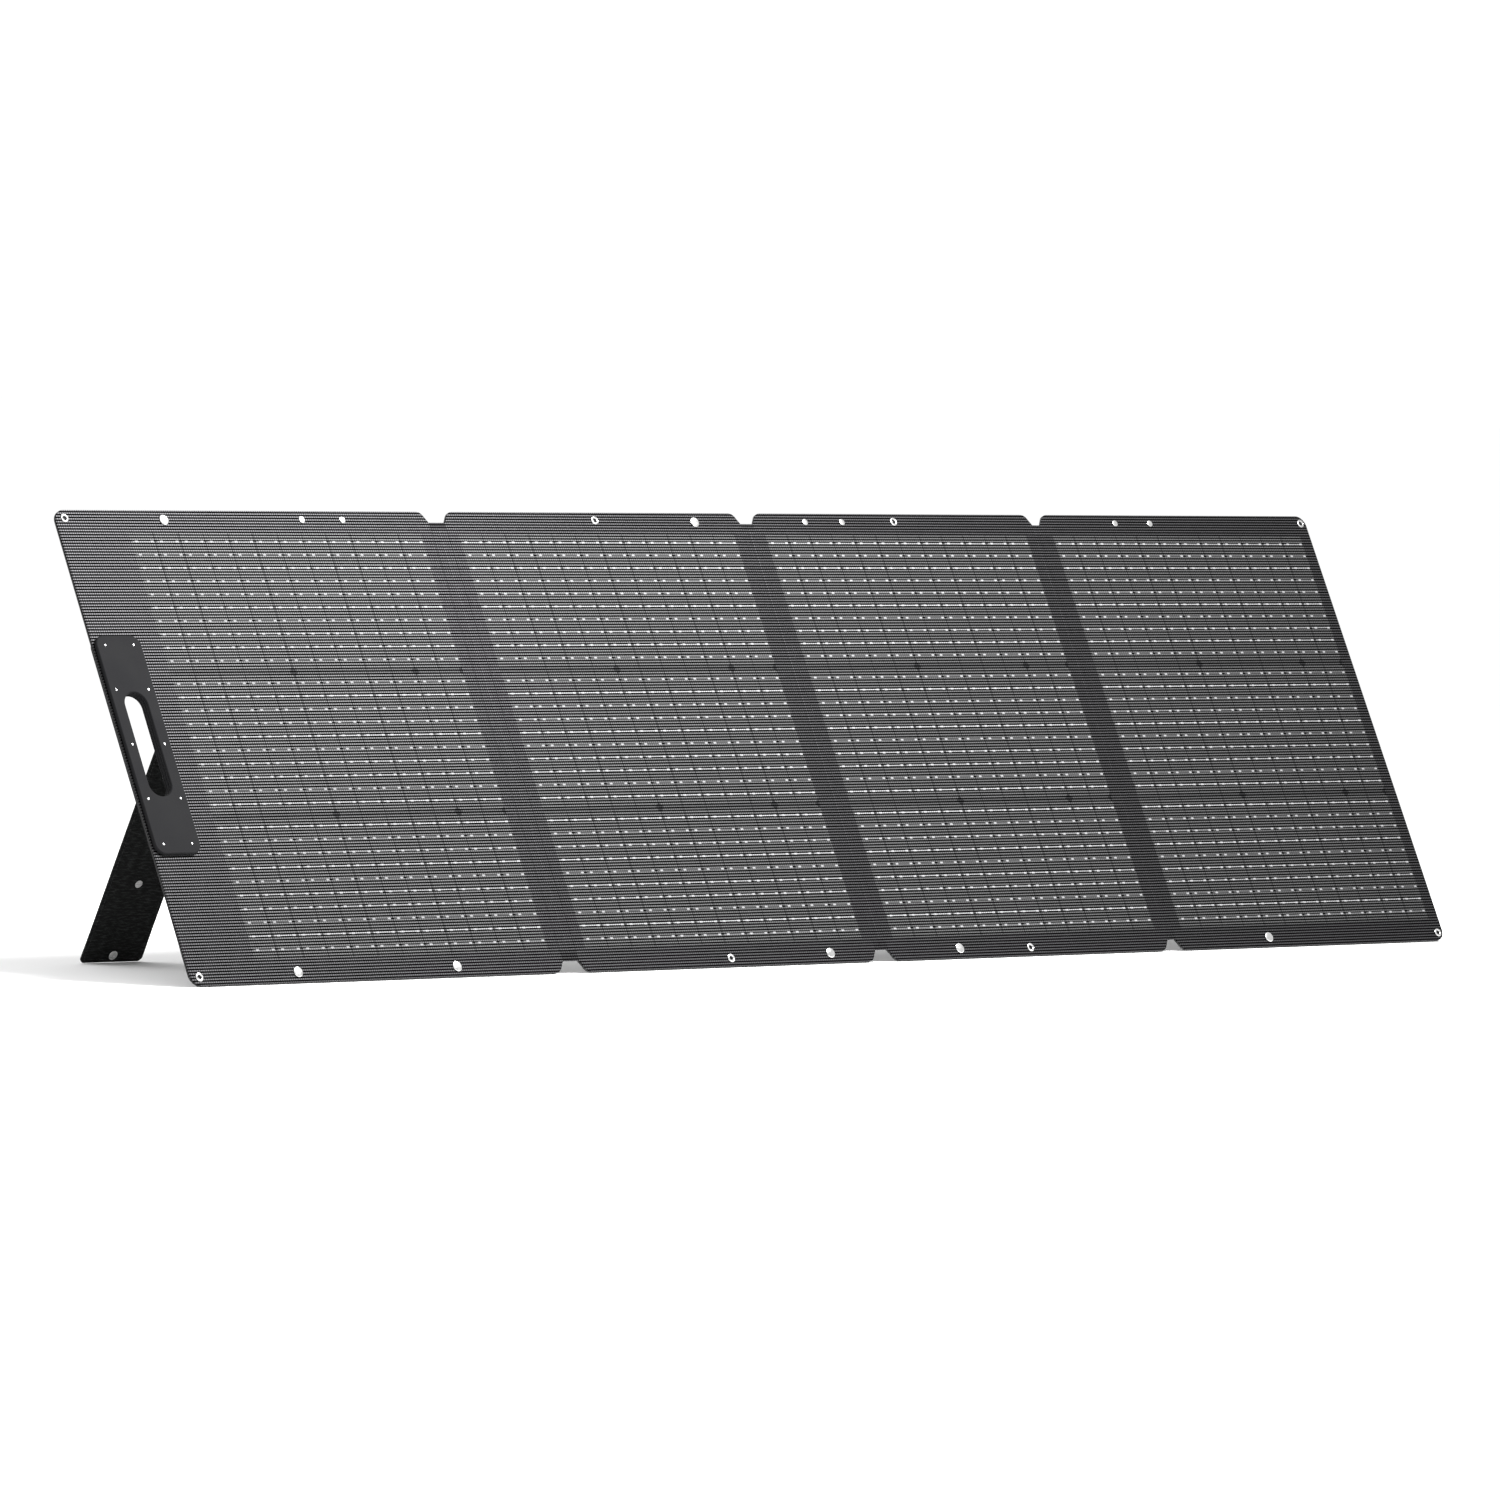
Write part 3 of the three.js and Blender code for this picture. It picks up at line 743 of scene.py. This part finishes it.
def panel_holes(index):
    """The outlines of the holes through a panel."""
    left, right = EDGES[index]
    holes = [circle(x, y, EYELET_HOLE, 24) for x, y in EYELETS.values() if left < x < right]
    holes += [circle(x, y, STUD_HOLE, 20) for x, y in STUDS.values() if left < x < right]
    if index == 0:
        holes.append(slot_outline(FINGER_SLOT_MARGIN, flat=0.2, steps=12))
    return holes


FILM_EDGE = (0.35, 0.15)
CASE_EDGE = (0.15, 0.9)
CASE_WALL = 2.6
BINDING = 6.4
BINDING_THICK = 0.25
BINDING_EDGE = 0.3
HEM_INSET = 4.2
STITCH_SINK = 0.05
RECESS_MARGIN = 0.7
RECESS_RADIUS = 0.6
FILM_GAP = 0.05
BOARD_GAP = 0.1
for index, number in enumerate(PANELS):
    outline = panel_outline(index)
    holes = [list(reversed(hole)) for hole in panel_holes(index)]
    cells = on_slope(f"panel_{number}_cells")

    def draw_film(bm):
        """The face film, with a recess for the cells in its back."""
        fronts, backs = walls(bm, [outline, *holes], soft_edge(0, FILM_BACK, *FILM_EDGE))
        size = [reach[1] - reach[0] + 2 * RECESS_MARGIN for reach in cells[:2]]
        recess = rounded_box(middle(cells[0]), middle(cells[1]), *size, RECESS_RADIUS, 3)
        mouth, ceiling = hollow(bm, recess, FILM_BACK, CELL_CEILING)
        cap(bm, fronts)
        cap(bm, [*backs, mouth])
        cap(bm, [ceiling])

    def draw_cover(bm):
        """The cloth case: a wall round the board, its back, and a sewn binding round the back's edge."""
        front = FILM_BACK - FILM_GAP
        floor_z = BOARD_BACK - BOARD_GAP
        binding = [(BINDING, BACK), (BINDING + BINDING_EDGE, BACK + BINDING_THICK)]
        rims, backs = walls(bm, [outline], soft_edge(front, BACK, *CASE_EDGE) + binding)
        mouth, floor = hollow(bm, inset(outline, CASE_WALL), front, floor_z)
        hole_fronts, hole_backs = walls(bm, holes, [(0, floor_z), (0, BACK + BINDING_THICK)])
        cap(bm, [*rims, mouth])
        cap(bm, [floor, *hole_fronts])
        cap(bm, [*backs, *hole_backs])

    def draw_hem(bm):
        stitch_row(bm, inset(outline, HEM_INSET), BACK - STITCH_SINK, closed=True)

    name = f"panel_{number}"
    corner = (cells[0][0], cells[1][0])
    make(f"{name}_film", draw_film, FILM, name, [f"{name}_face_sheet"], uv_from=corner)
    make(f"{name}_cloth_back", draw_cover, FABRIC, name, [f"{name}_rear_cover"])
    make(f"{name}_hem_stitching", draw_hem, THREAD, name)

# ---------------------------------------------------------------- fold bands

BAND_FRONT = -0.12
BAND_BACK = -1.4
BAND_COLUMNS = 28
BAND_ROWS = 40
CREASE_DEPTH = 0.22
CREASE_WIDTH = 1.1


def band_grid(bm, left, right, z, sign):
    """One side of a band, as columns of points, with its crease pressed in along the fold line."""
    grid = []
    low, high = NOTCH_DEPTH, HEIGHT - NOTCH_DEPTH
    for i in range(BAND_COLUMNS + 1):
        x = left + (right - left) * i / BAND_COLUMNS
        crease = sign * CREASE_DEPTH * math.exp(-(((x - (left + right) / 2) / CREASE_WIDTH) ** 2))
        heights = [low + (high - low) * j / BAND_ROWS for j in range(BAND_ROWS + 1)]
        grid.append([bm.verts.new((x, y, z + crease)) for y in heights])
    return grid


def grid_rim(grid):
    """The points round a grid's edge, in order."""
    rim = [column[0] for column in grid[:-1]] + grid[-1][:-1]
    return rim + [column[-1] for column in grid[:0:-1]] + grid[0][:0:-1]


for index, (left, right) in enumerate(FOLDS):

    def draw_band(bm):
        """A thin sheet with film in front and cloth behind."""
        front = band_grid(bm, left, right, BAND_FRONT, -1)
        back = band_grid(bm, left, right, BAND_BACK, 1)
        for side, grid in enumerate((front, back)):
            for first, second in zip(grid, grid[1:]):
                for j in range(BAND_ROWS):
                    face = bm.faces.new((first[j], second[j], second[j + 1], first[j + 1]))
                    face.smooth = True
                    face.material_index = side
        bridge(bm, grid_rim(front), grid_rim(back), smooth=False)

    number = index + 1
    webs = [f"fold_{number}_web_left", f"fold_{number}_web_right"]
    band = make(f"fold_{number}_band", draw_band, PLAIN_FILM, None, webs)
    band.data.materials.append(FABRIC)
    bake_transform(band)

# ---------------------------------------------------------------- metal fittings

# What a fitting clears the sheets by, in front and behind
SEAT = 0.02
EYELET_BORE = 2.85
EYELET_TUBE = 3.3
EYELET_ROLL = 1.5
EYELET_FOOT = 0.25
QUARTER_TURN = [math.pi / 10 * i for i in range(6)]
for name, (x, y) in EYELETS.items():
    reach = on_slope(name)

    def draw_eyelet(bm):
        """A rolled ring in front, its tube through the panel, and a washer behind."""
        outer = (reach[0][1] - reach[0][0]) / 2
        rim = outer - 0.1
        back, front = reach[2]
        rise = front - EYELET_FOOT
        crown = [
            (outer - EYELET_ROLL + EYELET_ROLL * math.cos(t), EYELET_FOOT + rise * math.sin(t))
            for t in QUARTER_TURN
        ]
        inner = [
            (EYELET_BORE + EYELET_ROLL - EYELET_ROLL * math.sin(t), EYELET_FOOT + rise * math.cos(t))
            for t in QUARTER_TURN
        ]
        washer = [
            (EYELET_BORE, BACK - 0.6), (EYELET_BORE + 0.4, back), (outer - 1.4, back),
            (outer - 0.3, BACK - 0.55), (rim, BACK - 0.05), (EYELET_TUBE, BACK - 0.05),
            (EYELET_TUBE, SEAT), (rim, SEAT),
        ]
        lathe(bm, crown + inner + washer, x, y)

    def draw_bore(bm):
        """The inside of the tube, in dark metal as painted shade."""
        lathe(bm, [(2.6, 0.1), (2.8, 0.3), (2.8, BACK - 0.3), (2.6, BACK - 0.1)], x, y)

    make(f"{name}_ring", draw_eyelet, NICKEL, body_at(x), [name])
    make(f"{name}_bore", draw_bore, BORE_SHADE_METAL, body_at(x))

# A cap's edge stands this far off the film, on a post and a shoulder inside it.
CAP_GAP = 0.5
CAP_SHOULDER_INSET = 1.4
POST = 2.0
for name, (x, y) in STUDS.items():
    reach = on_slope(name)

    def draw_stud(bm):
        """A domed cap in front, its post through the panel, and a washer with a snap's nub behind."""
        cap_radius = (reach[0][1] - reach[0][0]) / 2
        shoulder = cap_radius - CAP_SHOULDER_INSET
        under = CAP_GAP - 0.1
        back, front = reach[2]
        nub = [
            (0, back), (1.3, back), (1.9, back + 0.12), (2.3, back + 0.35), (1.9, back + 0.75),
            (3.4, back + 0.8), (4.6, BACK - 0.5), (5.0, BACK - 0.25), (5.0, BACK - SEAT),
            (POST, BACK - SEAT), (POST, SEAT), (shoulder, SEAT), (shoulder, under),
            (cap_radius - 0.2, under),
        ]
        lathe(bm, nub + dome(cap_radius, CAP_GAP, front, 0.3), x, y)

    make(f"{name}_cap", draw_stud, NICKEL, body_at(x), [name])

# Small heads, in pairs at the top edge, each pair round the place of a stud
HEAD_INSET = 12
HEAD_HALF_SPACING = 32
HEAD_RADIUS = 4.5
HEAD_FOOT = 3.6
HEAD_BASE = 0.35
HEAD_RISE = 1.6
PAIRS_AT = [STUDS[name][0] for name in ("edge_stud_1", "edge_stud_3", "leg_3_stow_stud")]
HEADS = [(x + side * HEAD_HALF_SPACING, HEIGHT - HEAD_INSET) for x in PAIRS_AT for side in (-1, 1)]
for number, (x, y) in enumerate(HEADS, 1):

    def draw_head(bm):
        foot = [(0, -0.05), (HEAD_FOOT, -0.05), (HEAD_FOOT, 0.3)]
        lathe(bm, foot + dome(HEAD_RADIUS, HEAD_BASE, HEAD_RISE, 0.2), x, y)

    make(f"top_rivet_{number}", draw_head, NICKEL, body_at(x))

# ---------------------------------------------------------------- handle

HANDLE_CENTRE = (middle(HANDLE_REACH[0]), HEIGHT / 2)
HANDLE_SIZE = [high - low for low, high in HANDLE_REACH[:2]]
HANDLE_CORNER = 14
HANDLE_EDGE = [(1.9, 0), (1.35, 0.14), (0.45, 0.95), (0.12, 1.4), (0, 2.0)]
HANDLE_NEAR_EDGE = 0.3

# Six screws along the finger slot, and two near each end
SLOT_SCREW_X = 24.4
SLOT_SCREW_Y = 71
END_SCREW_X = 21.5
END_SCREW_Y = 129.6
SCREWS = [(side * SLOT_SCREW_X, row * SLOT_SCREW_Y) for row in (-1, 0, 1) for side in (-1, 1)]
SCREWS += [(side * END_SCREW_X, row * END_SCREW_Y) for row in (-1, 1) for side in (-1, 1)]
SCREW_HEAD = [(0, 0.1), (0.55, 0.1), (0.7, 0.4), (1.1, 0.44), (1.4, 0.3), (1.5, 0.0), (1.5, -0.4), (0, -0.4)]


def handle_profile(near, far):
    """A chamfer with soft edges at the far face, and a small one at the face next to the panel."""
    sign = 1 if far > near else -1
    outer = [(depth, far - sign * drop) for depth, drop in HANDLE_EDGE]
    return outer + [(0, near + sign * HANDLE_NEAR_EDGE), (HANDLE_NEAR_EDGE, near)]


for side, node in (("front", "handle_front"), ("rear", "handle_rear")):
    low, high = on_slope(node)[2]
    near, far = (low, high) if side == "front" else (high, low)

    def draw_plate(bm):
        outline = rounded_box(*HANDLE_CENTRE, *HANDLE_SIZE, HANDLE_CORNER, 12)
        slab(bm, outline, [slot_outline()], handle_profile(near, far))

    def draw_screws(bm):
        sign = 1 if side == "front" else -1
        head = [(radius, far + sign * rise) for radius, rise in SCREW_HEAD]
        for dx, dy in SCREWS:
            lathe(bm, head, HANDLE_CENTRE[0] + dx, HANDLE_CENTRE[1] + dy, 20)

    make(f"handle_{side}_plate", draw_plate, HANDLE_PLASTIC, "panel_1", [node])
    make(f"handle_{side}_screws", draw_screws, STEEL, "panel_1")

LINING_OUTSIDE = 0.9
LINING_INSIDE = 0.2
LINING_PROUD = 0.28


def draw_lining(bm):
    """The wall of the finger slot, between the two plates."""
    ends = [(0, LINING_PROUD), (0, BACK - LINING_PROUD)]
    slab(bm, slot_outline(LINING_OUTSIDE), [slot_outline(LINING_INSIDE)], ends)


make("finger_slot_lining", draw_lining, HANDLE_PLASTIC, "panel_1")

# ---------------------------------------------------------------- legs

LEG_CHAMFER = 5
LEG_HOLE = 2.5
LEG_EDGE = 0.8
LEG_SEAM_INSET = 4.5
LEG_POST = 2.2
FLAP_CORNER = 4
FLAP_SEAM_INSET = 4
STRIP_THICK = 0.2
STRIP_INSET = 3
STRIP_GAP = 0.1
STRIP_STEPS = 14
STRIP_COLUMNS = 9


def bezier(points, steps):
    """A cubic curve through space, as steps + 1 points from its first one to its last."""
    path = []
    for i in range(steps + 1):
        t = i / steps
        weights = ((1 - t) ** 3, 3 * t * (1 - t) ** 2, 3 * t * t * (1 - t), t**3)
        path.append(sum((w * p for w, p in zip(weights, points)), Vector()))
    return path


for number, matrix in LEGS.items():
    name = f"leg_{number}"
    joint = JOINTS[f"{name}_stow"]
    panel = joint["parent"]
    board = on_leg(f"{name}_board", number)
    half = board[0][1]
    foot, top = board[1]
    rear, face = board[2]
    snap_y = middle(on_leg(f"{name}_foot_snap", number)[1])
    rivet_y = middle(on_leg(f"{name}_rivet", number)[1])

    def leg_outline():
        """The board's outline, with softened chamfers at its foot."""
        chamfer = [(LEG_CHAMFER - 1.6, 0.9), (LEG_CHAMFER, 0)]
        foot_left = [(b, a) for a, b in reversed(chamfer)] + chamfer
        foot_left = [(-half + a, foot + b) for a, b in foot_left]
        foot_right = [(-x, y) for x, y in reversed(foot_left)]
        return [*foot_left, *foot_right, (half, top), (-half, top)]

    def draw_leg(bm):
        holes = [circle(0, y, LEG_HOLE, 20) for y in (snap_y, rivet_y)]
        slab(bm, leg_outline(), holes, soft_edge(face, rear, LEG_EDGE, LEG_EDGE))

    def draw_leg_stitching(bm):
        seam = inset(leg_outline(), LEG_SEAM_INSET)
        for z in (face + SEAT, rear - SEAT):
            stitch_row(bm, seam, z, pitch=4.6, length=3.4, radius=0.36, closed=True)

    def draw_snap(bm):
        """A snap's socket on the face, its post through the board, and a low head behind."""
        head = [
            (0, rear - 1.0), (4.6, rear - 0.95), (6.0, rear - 0.5), (6.2, rear - SEAT),
        ]
        socket = [
            (6.1, face + SEAT), (6.3, face + 0.45), (6.0, face + 0.8), (5.2, face + 0.98),
            (4.3, face + 0.85), (4.1, face + 0.45), (3.4, face + 0.5), (3.2, face + 0.95),
            (2.9, face + 0.95), (2.7, face + 0.3), (0, face + 0.25),
        ]
        post = [(LEG_POST, rear - SEAT), (LEG_POST, face + SEAT)]
        lathe(bm, head + post + socket, 0, snap_y)

    def draw_rivet(bm):
        """A rivet's domed head on the face, its post through the board, and a low head behind."""
        profile = [
            (0, rear - 0.9), (2.6, rear - 0.8), (3.8, rear - 0.5), (4.0, rear - SEAT),
            (LEG_POST, rear - SEAT), (LEG_POST, face + SEAT), (5.0, face + SEAT),
            *dome(5.2, face + SEAT, 1.55, 0.4),
        ]
        lathe(bm, profile, 0, rivet_y)

    make(f"{name}_cloth_board", draw_leg, LEG_CLOTH, name, [f"{name}_board"], matrix)
    make(f"{name}_edge_stitching", draw_leg_stitching, THREAD, name, matrix=matrix)
    make(f"{name}_foot_socket", draw_snap, ZINC, name, [f"{name}_foot_snap"], matrix)
    make(f"{name}_round_rivet", draw_rivet, NICKEL, name, [f"{name}_rivet"], matrix)

    # A flap of cloth is sewn to the panel's back. A thin strip runs from it round the hinge to the leg.
    flap = on_slope(f"{name}_hinge_flap")
    flap_centre = [middle(reach) for reach in flap[:2]]
    flap_size = [high - low for low, high in flap[:2]]
    flap_back = flap[2][0]
    hinge = SLOPE.inverted() @ Vector(joint["pos_m"]) / MM

    def draw_flap(bm):
        outline = rounded_box(*flap_centre, *flap_size, FLAP_CORNER)
        slab(bm, outline, [], soft_edge(flap[2][1] + 0.25, flap_back, 0.1, 0.5))

    def draw_flap_stitching(bm):
        """A seam round the flap, and a cross between its corners."""
        size = [length - 2 * FLAP_SEAM_INSET for length in flap_size]
        seam = rounded_box(*flap_centre, *size, 2, 2)
        (left, right), (low, high) = [(a + FLAP_SEAM_INSET, b - FLAP_SEAM_INSET) for a, b in flap[:2]]
        rising = [(left, low), (right, high)]
        falling = [(left, high), (right, low)]
        for row, closed in ((seam, True), (rising, False), (falling, False)):
            stitch_row(bm, row, flap_back - STITCH_SINK, pitch=4.2, length=3.1, radius=0.38, closed=closed)

    cloth = make(f"{name}_flap_cloth", draw_flap, LEG_CLOTH, panel, [f"{name}_hinge_flap"])
    seam = make(f"{name}_flap_stitching", draw_flap_stitching, THREAD, panel)

    half_width = half - STRIP_INSET
    to_slope = SLOPE.inverted() @ matrix
    curve = (
        Vector((hinge.x, flap[1][0] + 6, flap_back - STRIP_GAP - STRIP_THICK)),
        Vector((hinge.x, flap[1][0] - 1.0, flap_back - 0.4 - STRIP_THICK)),
        to_slope @ (Vector((0, top - 3, rear - STRIP_GAP)) * MM) / MM,
        to_slope @ (Vector((0, top - 14, rear - STRIP_GAP)) * MM) / MM,
    )
    path = bezier(curve, STRIP_STEPS)

    def draw_strip(bm):
        """The strip, in the slope frame, with its path on the side next to the panel."""
        steps = STRIP_COLUMNS - 1
        across = [hinge.x - half_width + 2 * half_width * j / steps for j in range(STRIP_COLUMNS)]
        loops = []
        for i, point in enumerate(path):
            along = (path[min(i + 1, STRIP_STEPS)] - path[max(i - 1, 0)]).normalized()
            away = Vector((0, along.z, -along.y)) * STRIP_THICK
            if away.z > 0:
                away = -away
            near, far = ([bm.verts.new((x, p.y, p.z)) for x in across] for p in (point, point + away))
            loops.append(near + list(reversed(far)))
        skin(bm, loops)
        for loop in (loops[0], loops[-1]):
            bm.faces.new(loop)

    strip = make(f"{name}_hinge_strip", draw_strip, LEG_CLOTH, None)
    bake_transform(strip)

# ---------------------------------------------------------------- junction box

LID = on_slope("junction_lid")
LID_CENTRE = [middle(reach) for reach in LID[:2]]
LID_SIZE = [high - low for low, high in LID[:2]]
LID_CORNER = 7
RIBS = 7
RIB_PITCH = 9
RIB_WIDTH = 2.6
RIB_END_GAP = 15
LID_SCREW_INSET = 8
LID_SCREW_HEAD = [
    (0, 0.2), (1.1, 0.2), (1.3, -0.5), (2.4, -0.75), (3.0, -0.5), (3.2, 0.05), (3.2, 0.3), (0, 0.3),
]


def draw_lid(bm):
    """The lid, with soft edges and a row of cooling ribs."""
    outline = rounded_box(*LID_CENTRE, *LID_SIZE, LID_CORNER, 10)
    low, high = LID[2]
    slab(bm, outline, [], [(0.2, high), (0, high - 0.2), (0, low + 1.2), (0.35, low + 0.35), (1.2, low)])
    for i in range(RIBS):
        x = LID_CENTRE[0] + (i - RIBS // 2) * RIB_PITCH
        size = (RIB_WIDTH, LID_SIZE[1] - 2 * RIB_END_GAP)
        rib = rounded_box(x, LID_CENTRE[1], *size, RIB_WIDTH / 2 - 0.01, 6)
        slab(bm, rib, [], [(0, low + 0.2), (0, low - 0.5), (0.35, low - 0.8)])


def draw_lid_screws(bm):
    head = [(radius, LID[2][0] + rise) for radius, rise in LID_SCREW_HEAD]
    dx, dy = [size / 2 - LID_SCREW_INSET for size in LID_SIZE]
    for x in (LID_CENTRE[0] - dx, LID_CENTRE[0] + dx):
        for y in (LID_CENTRE[1] - dy, LID_CENTRE[1] + dy):
            lathe(bm, head, x, y, 28)


make("junction_cover", draw_lid, BOX_PLASTIC, "panel_2", ["junction_lid"])
make("junction_cover_screws", draw_lid_screws, STEEL, "panel_2")

# The gland is drawn along its own z, from its mouth.
GLAND = on_slope("cable_gland")
GLAND_MOUTH = Vector((middle(GLAND[0]), GLAND[1][0], middle(GLAND[2]))) * MM
GLAND_MATRIX = SLOPE @ Matrix.Translation(GLAND_MOUTH) @ Matrix.Rotation(-math.pi / 2, 4, "X")
GLAND_BORE = 3.1
GLAND_TUBE = 5.0
GLAND_NUT = 6.1
GLAND_RIBS = 18


def draw_gland(bm):
    """A dome nut, a hexagon and the threaded tube, with ribs round the nut."""
    length = GLAND[1][1] - GLAND[1][0]
    body = [
        (GLAND_BORE, 0.0), (4.3, 0.0), (4.9, 0.4), (5.6, 2.4), (GLAND_NUT, 4.0), (GLAND_NUT, 9.2),
        (GLAND_TUBE, 9.6), (GLAND_TUBE, length), (GLAND_BORE, length),
    ]
    lathe(bm, body, 0, 0, 36)
    hexagon = circle(0, 0, (GLAND[0][1] - GLAND[0][0]) / 2 - 0.05, 6)
    slab(bm, hexagon, [circle(0, 0, GLAND_TUBE + 0.05, 24)], [(0.3, 9.4), (0, 9.7), (0, 14.2), (0.3, 14.5)])
    for i in range(GLAND_RIBS):
        turn = 2 * math.pi * i / GLAND_RIBS
        x, y = GLAND_NUT * math.cos(turn), GLAND_NUT * math.sin(turn)
        angles = [turn + a for a in (-1.9, -0.7, 0.7, 1.9)]
        rib = [(x + 0.35 * math.cos(angle), y + 0.35 * math.sin(angle)) for angle in angles]
        slab(bm, rib, [], [(0.05, 4.2), (0, 4.5), (0, 8.8), (0.05, 9.1)])


def draw_seal(bm):
    """The rubber ring in the gland's mouth."""
    outer = GLAND_BORE - 0.05
    lathe(bm, [(1.2, 0.5), (outer, 0.5), (outer, 4.5), (1.2, 4.5)], 0, 0, 28)


make("cable_gland_nut", draw_gland, BOX_PLASTIC, "panel_2", ["cable_gland"], GLAND_MATRIX)
make("cable_gland_seal", draw_seal, RUBBER, "panel_2", matrix=GLAND_MATRIX)

# ---------------------------------------------------------------- CAD nodes that stay

# Each with its material and the width of its soft edges, in millimetres
STAYING = {
    "junction_base": (BOX_PLASTIC, 0.6),
    "terminal_block": (BRASS, 0.4),
    "bypass_diode_1": (RUBBER, 0.3),
    "bypass_diode_2": (RUBBER, 0.3),
}
STAYING.update({f"panel_{n}_cells": (SILICON, 0) for n in PANELS})
STAYING.update({f"panel_{n}_board": (GLASS_FIBRE, 0) for n in PANELS})
for node, (material, edge) in STAYING.items():
    kept = frame["nodes"][node]
    kept.data.materials.clear()
    kept.data.materials.append(material)
    if edge:
        bevel = kept.modifiers.new("soft_edges", "BEVEL")
        bevel.width = edge * MM
        bevel.segments = 2
        bevel.limit_method = "ANGLE"

# ---------------------------------------------------------------- floor, light and camera

FLOOR_SIZE = 40
FLOOR_DROP = 0.4 * MM


def floor():
    """A plain pale floor, just under the feet so that nothing cuts into it."""
    bm = bmesh.new()
    bmesh.ops.create_grid(bm, x_segments=2, y_segments=2, size=FLOOR_SIZE)
    mesh = bpy.data.meshes.new("floor")
    bm.to_mesh(mesh)
    bm.free()
    shader = Shader("floor", (0.9, 0.9, 0.9), 0.9, Specular_IOR_Level=0.0)
    mottle = shader.noise(shader.place(), scale=3.0)
    shader.set("Base Color", shader.mix(mottle, (0.896, 0.896, 0.896), (0.904, 0.904, 0.904)))
    mesh.materials.append(shader.material)
    add_object("floor", mesh, (0, 0, -FLOOR_DROP))


def studio(strength):
    """An even white surround."""
    world = bpy.data.worlds.new("studio")
    world.use_nodes = True
    background = world.node_tree.nodes["Background"]
    background.inputs["Color"].default_value = (1, 1, 1, 1)
    background.inputs["Strength"].default_value = strength
    bpy.context.scene.world = world
    bpy.context.scene.view_settings.view_transform = "Standard"


def area_light(name, place, aim, size, power):
    """A soft round light at a place, turned to a point."""
    data = bpy.data.lights.new(name, "AREA")
    data.shape = "DISK"
    data.size = size
    data.energy = power
    add_object(name, data, place, (Vector(aim) - Vector(place)).to_track_quat("-Z", "Y"))


def camera(azimuth, elevation, roll, distance, aim, lens):
    """A camera round a point. Its angles are in degrees, and it stands in front at azimuth 0."""
    a, e = math.radians(azimuth), math.radians(elevation)
    back = Vector((math.sin(a) * math.cos(e), -math.cos(a) * math.cos(e), math.sin(e)))
    right = Vector((math.cos(a), math.sin(a), 0))
    axes = Matrix((right, back.cross(right), back)).transposed()
    data = bpy.data.cameras.new("camera")
    data.lens = lens
    data.clip_end = 200
    turn = (axes @ Matrix.Rotation(math.radians(roll), 3, "Z")).to_quaternion()
    bpy.context.scene.camera = add_object("camera", data, Vector(aim) + back * distance, turn)


floor()
studio(strength=1.12)
area_light("key", place=(0.26, -0.93, 2.03), aim=(-0.9, 0.1, 0.5), size=1.3, power=216)
area_light("rear_fill", place=(-2.6, 2.4, 2.6), aim=(-0.9, 0.2, 0.2), size=2.0, power=18)
AIM = (-0.02097, 0.00123, 0.25685)
camera(azimuth=-42.13, elevation=2.765, roll=1.537, distance=12.203, aim=AIM, lens=232.6)
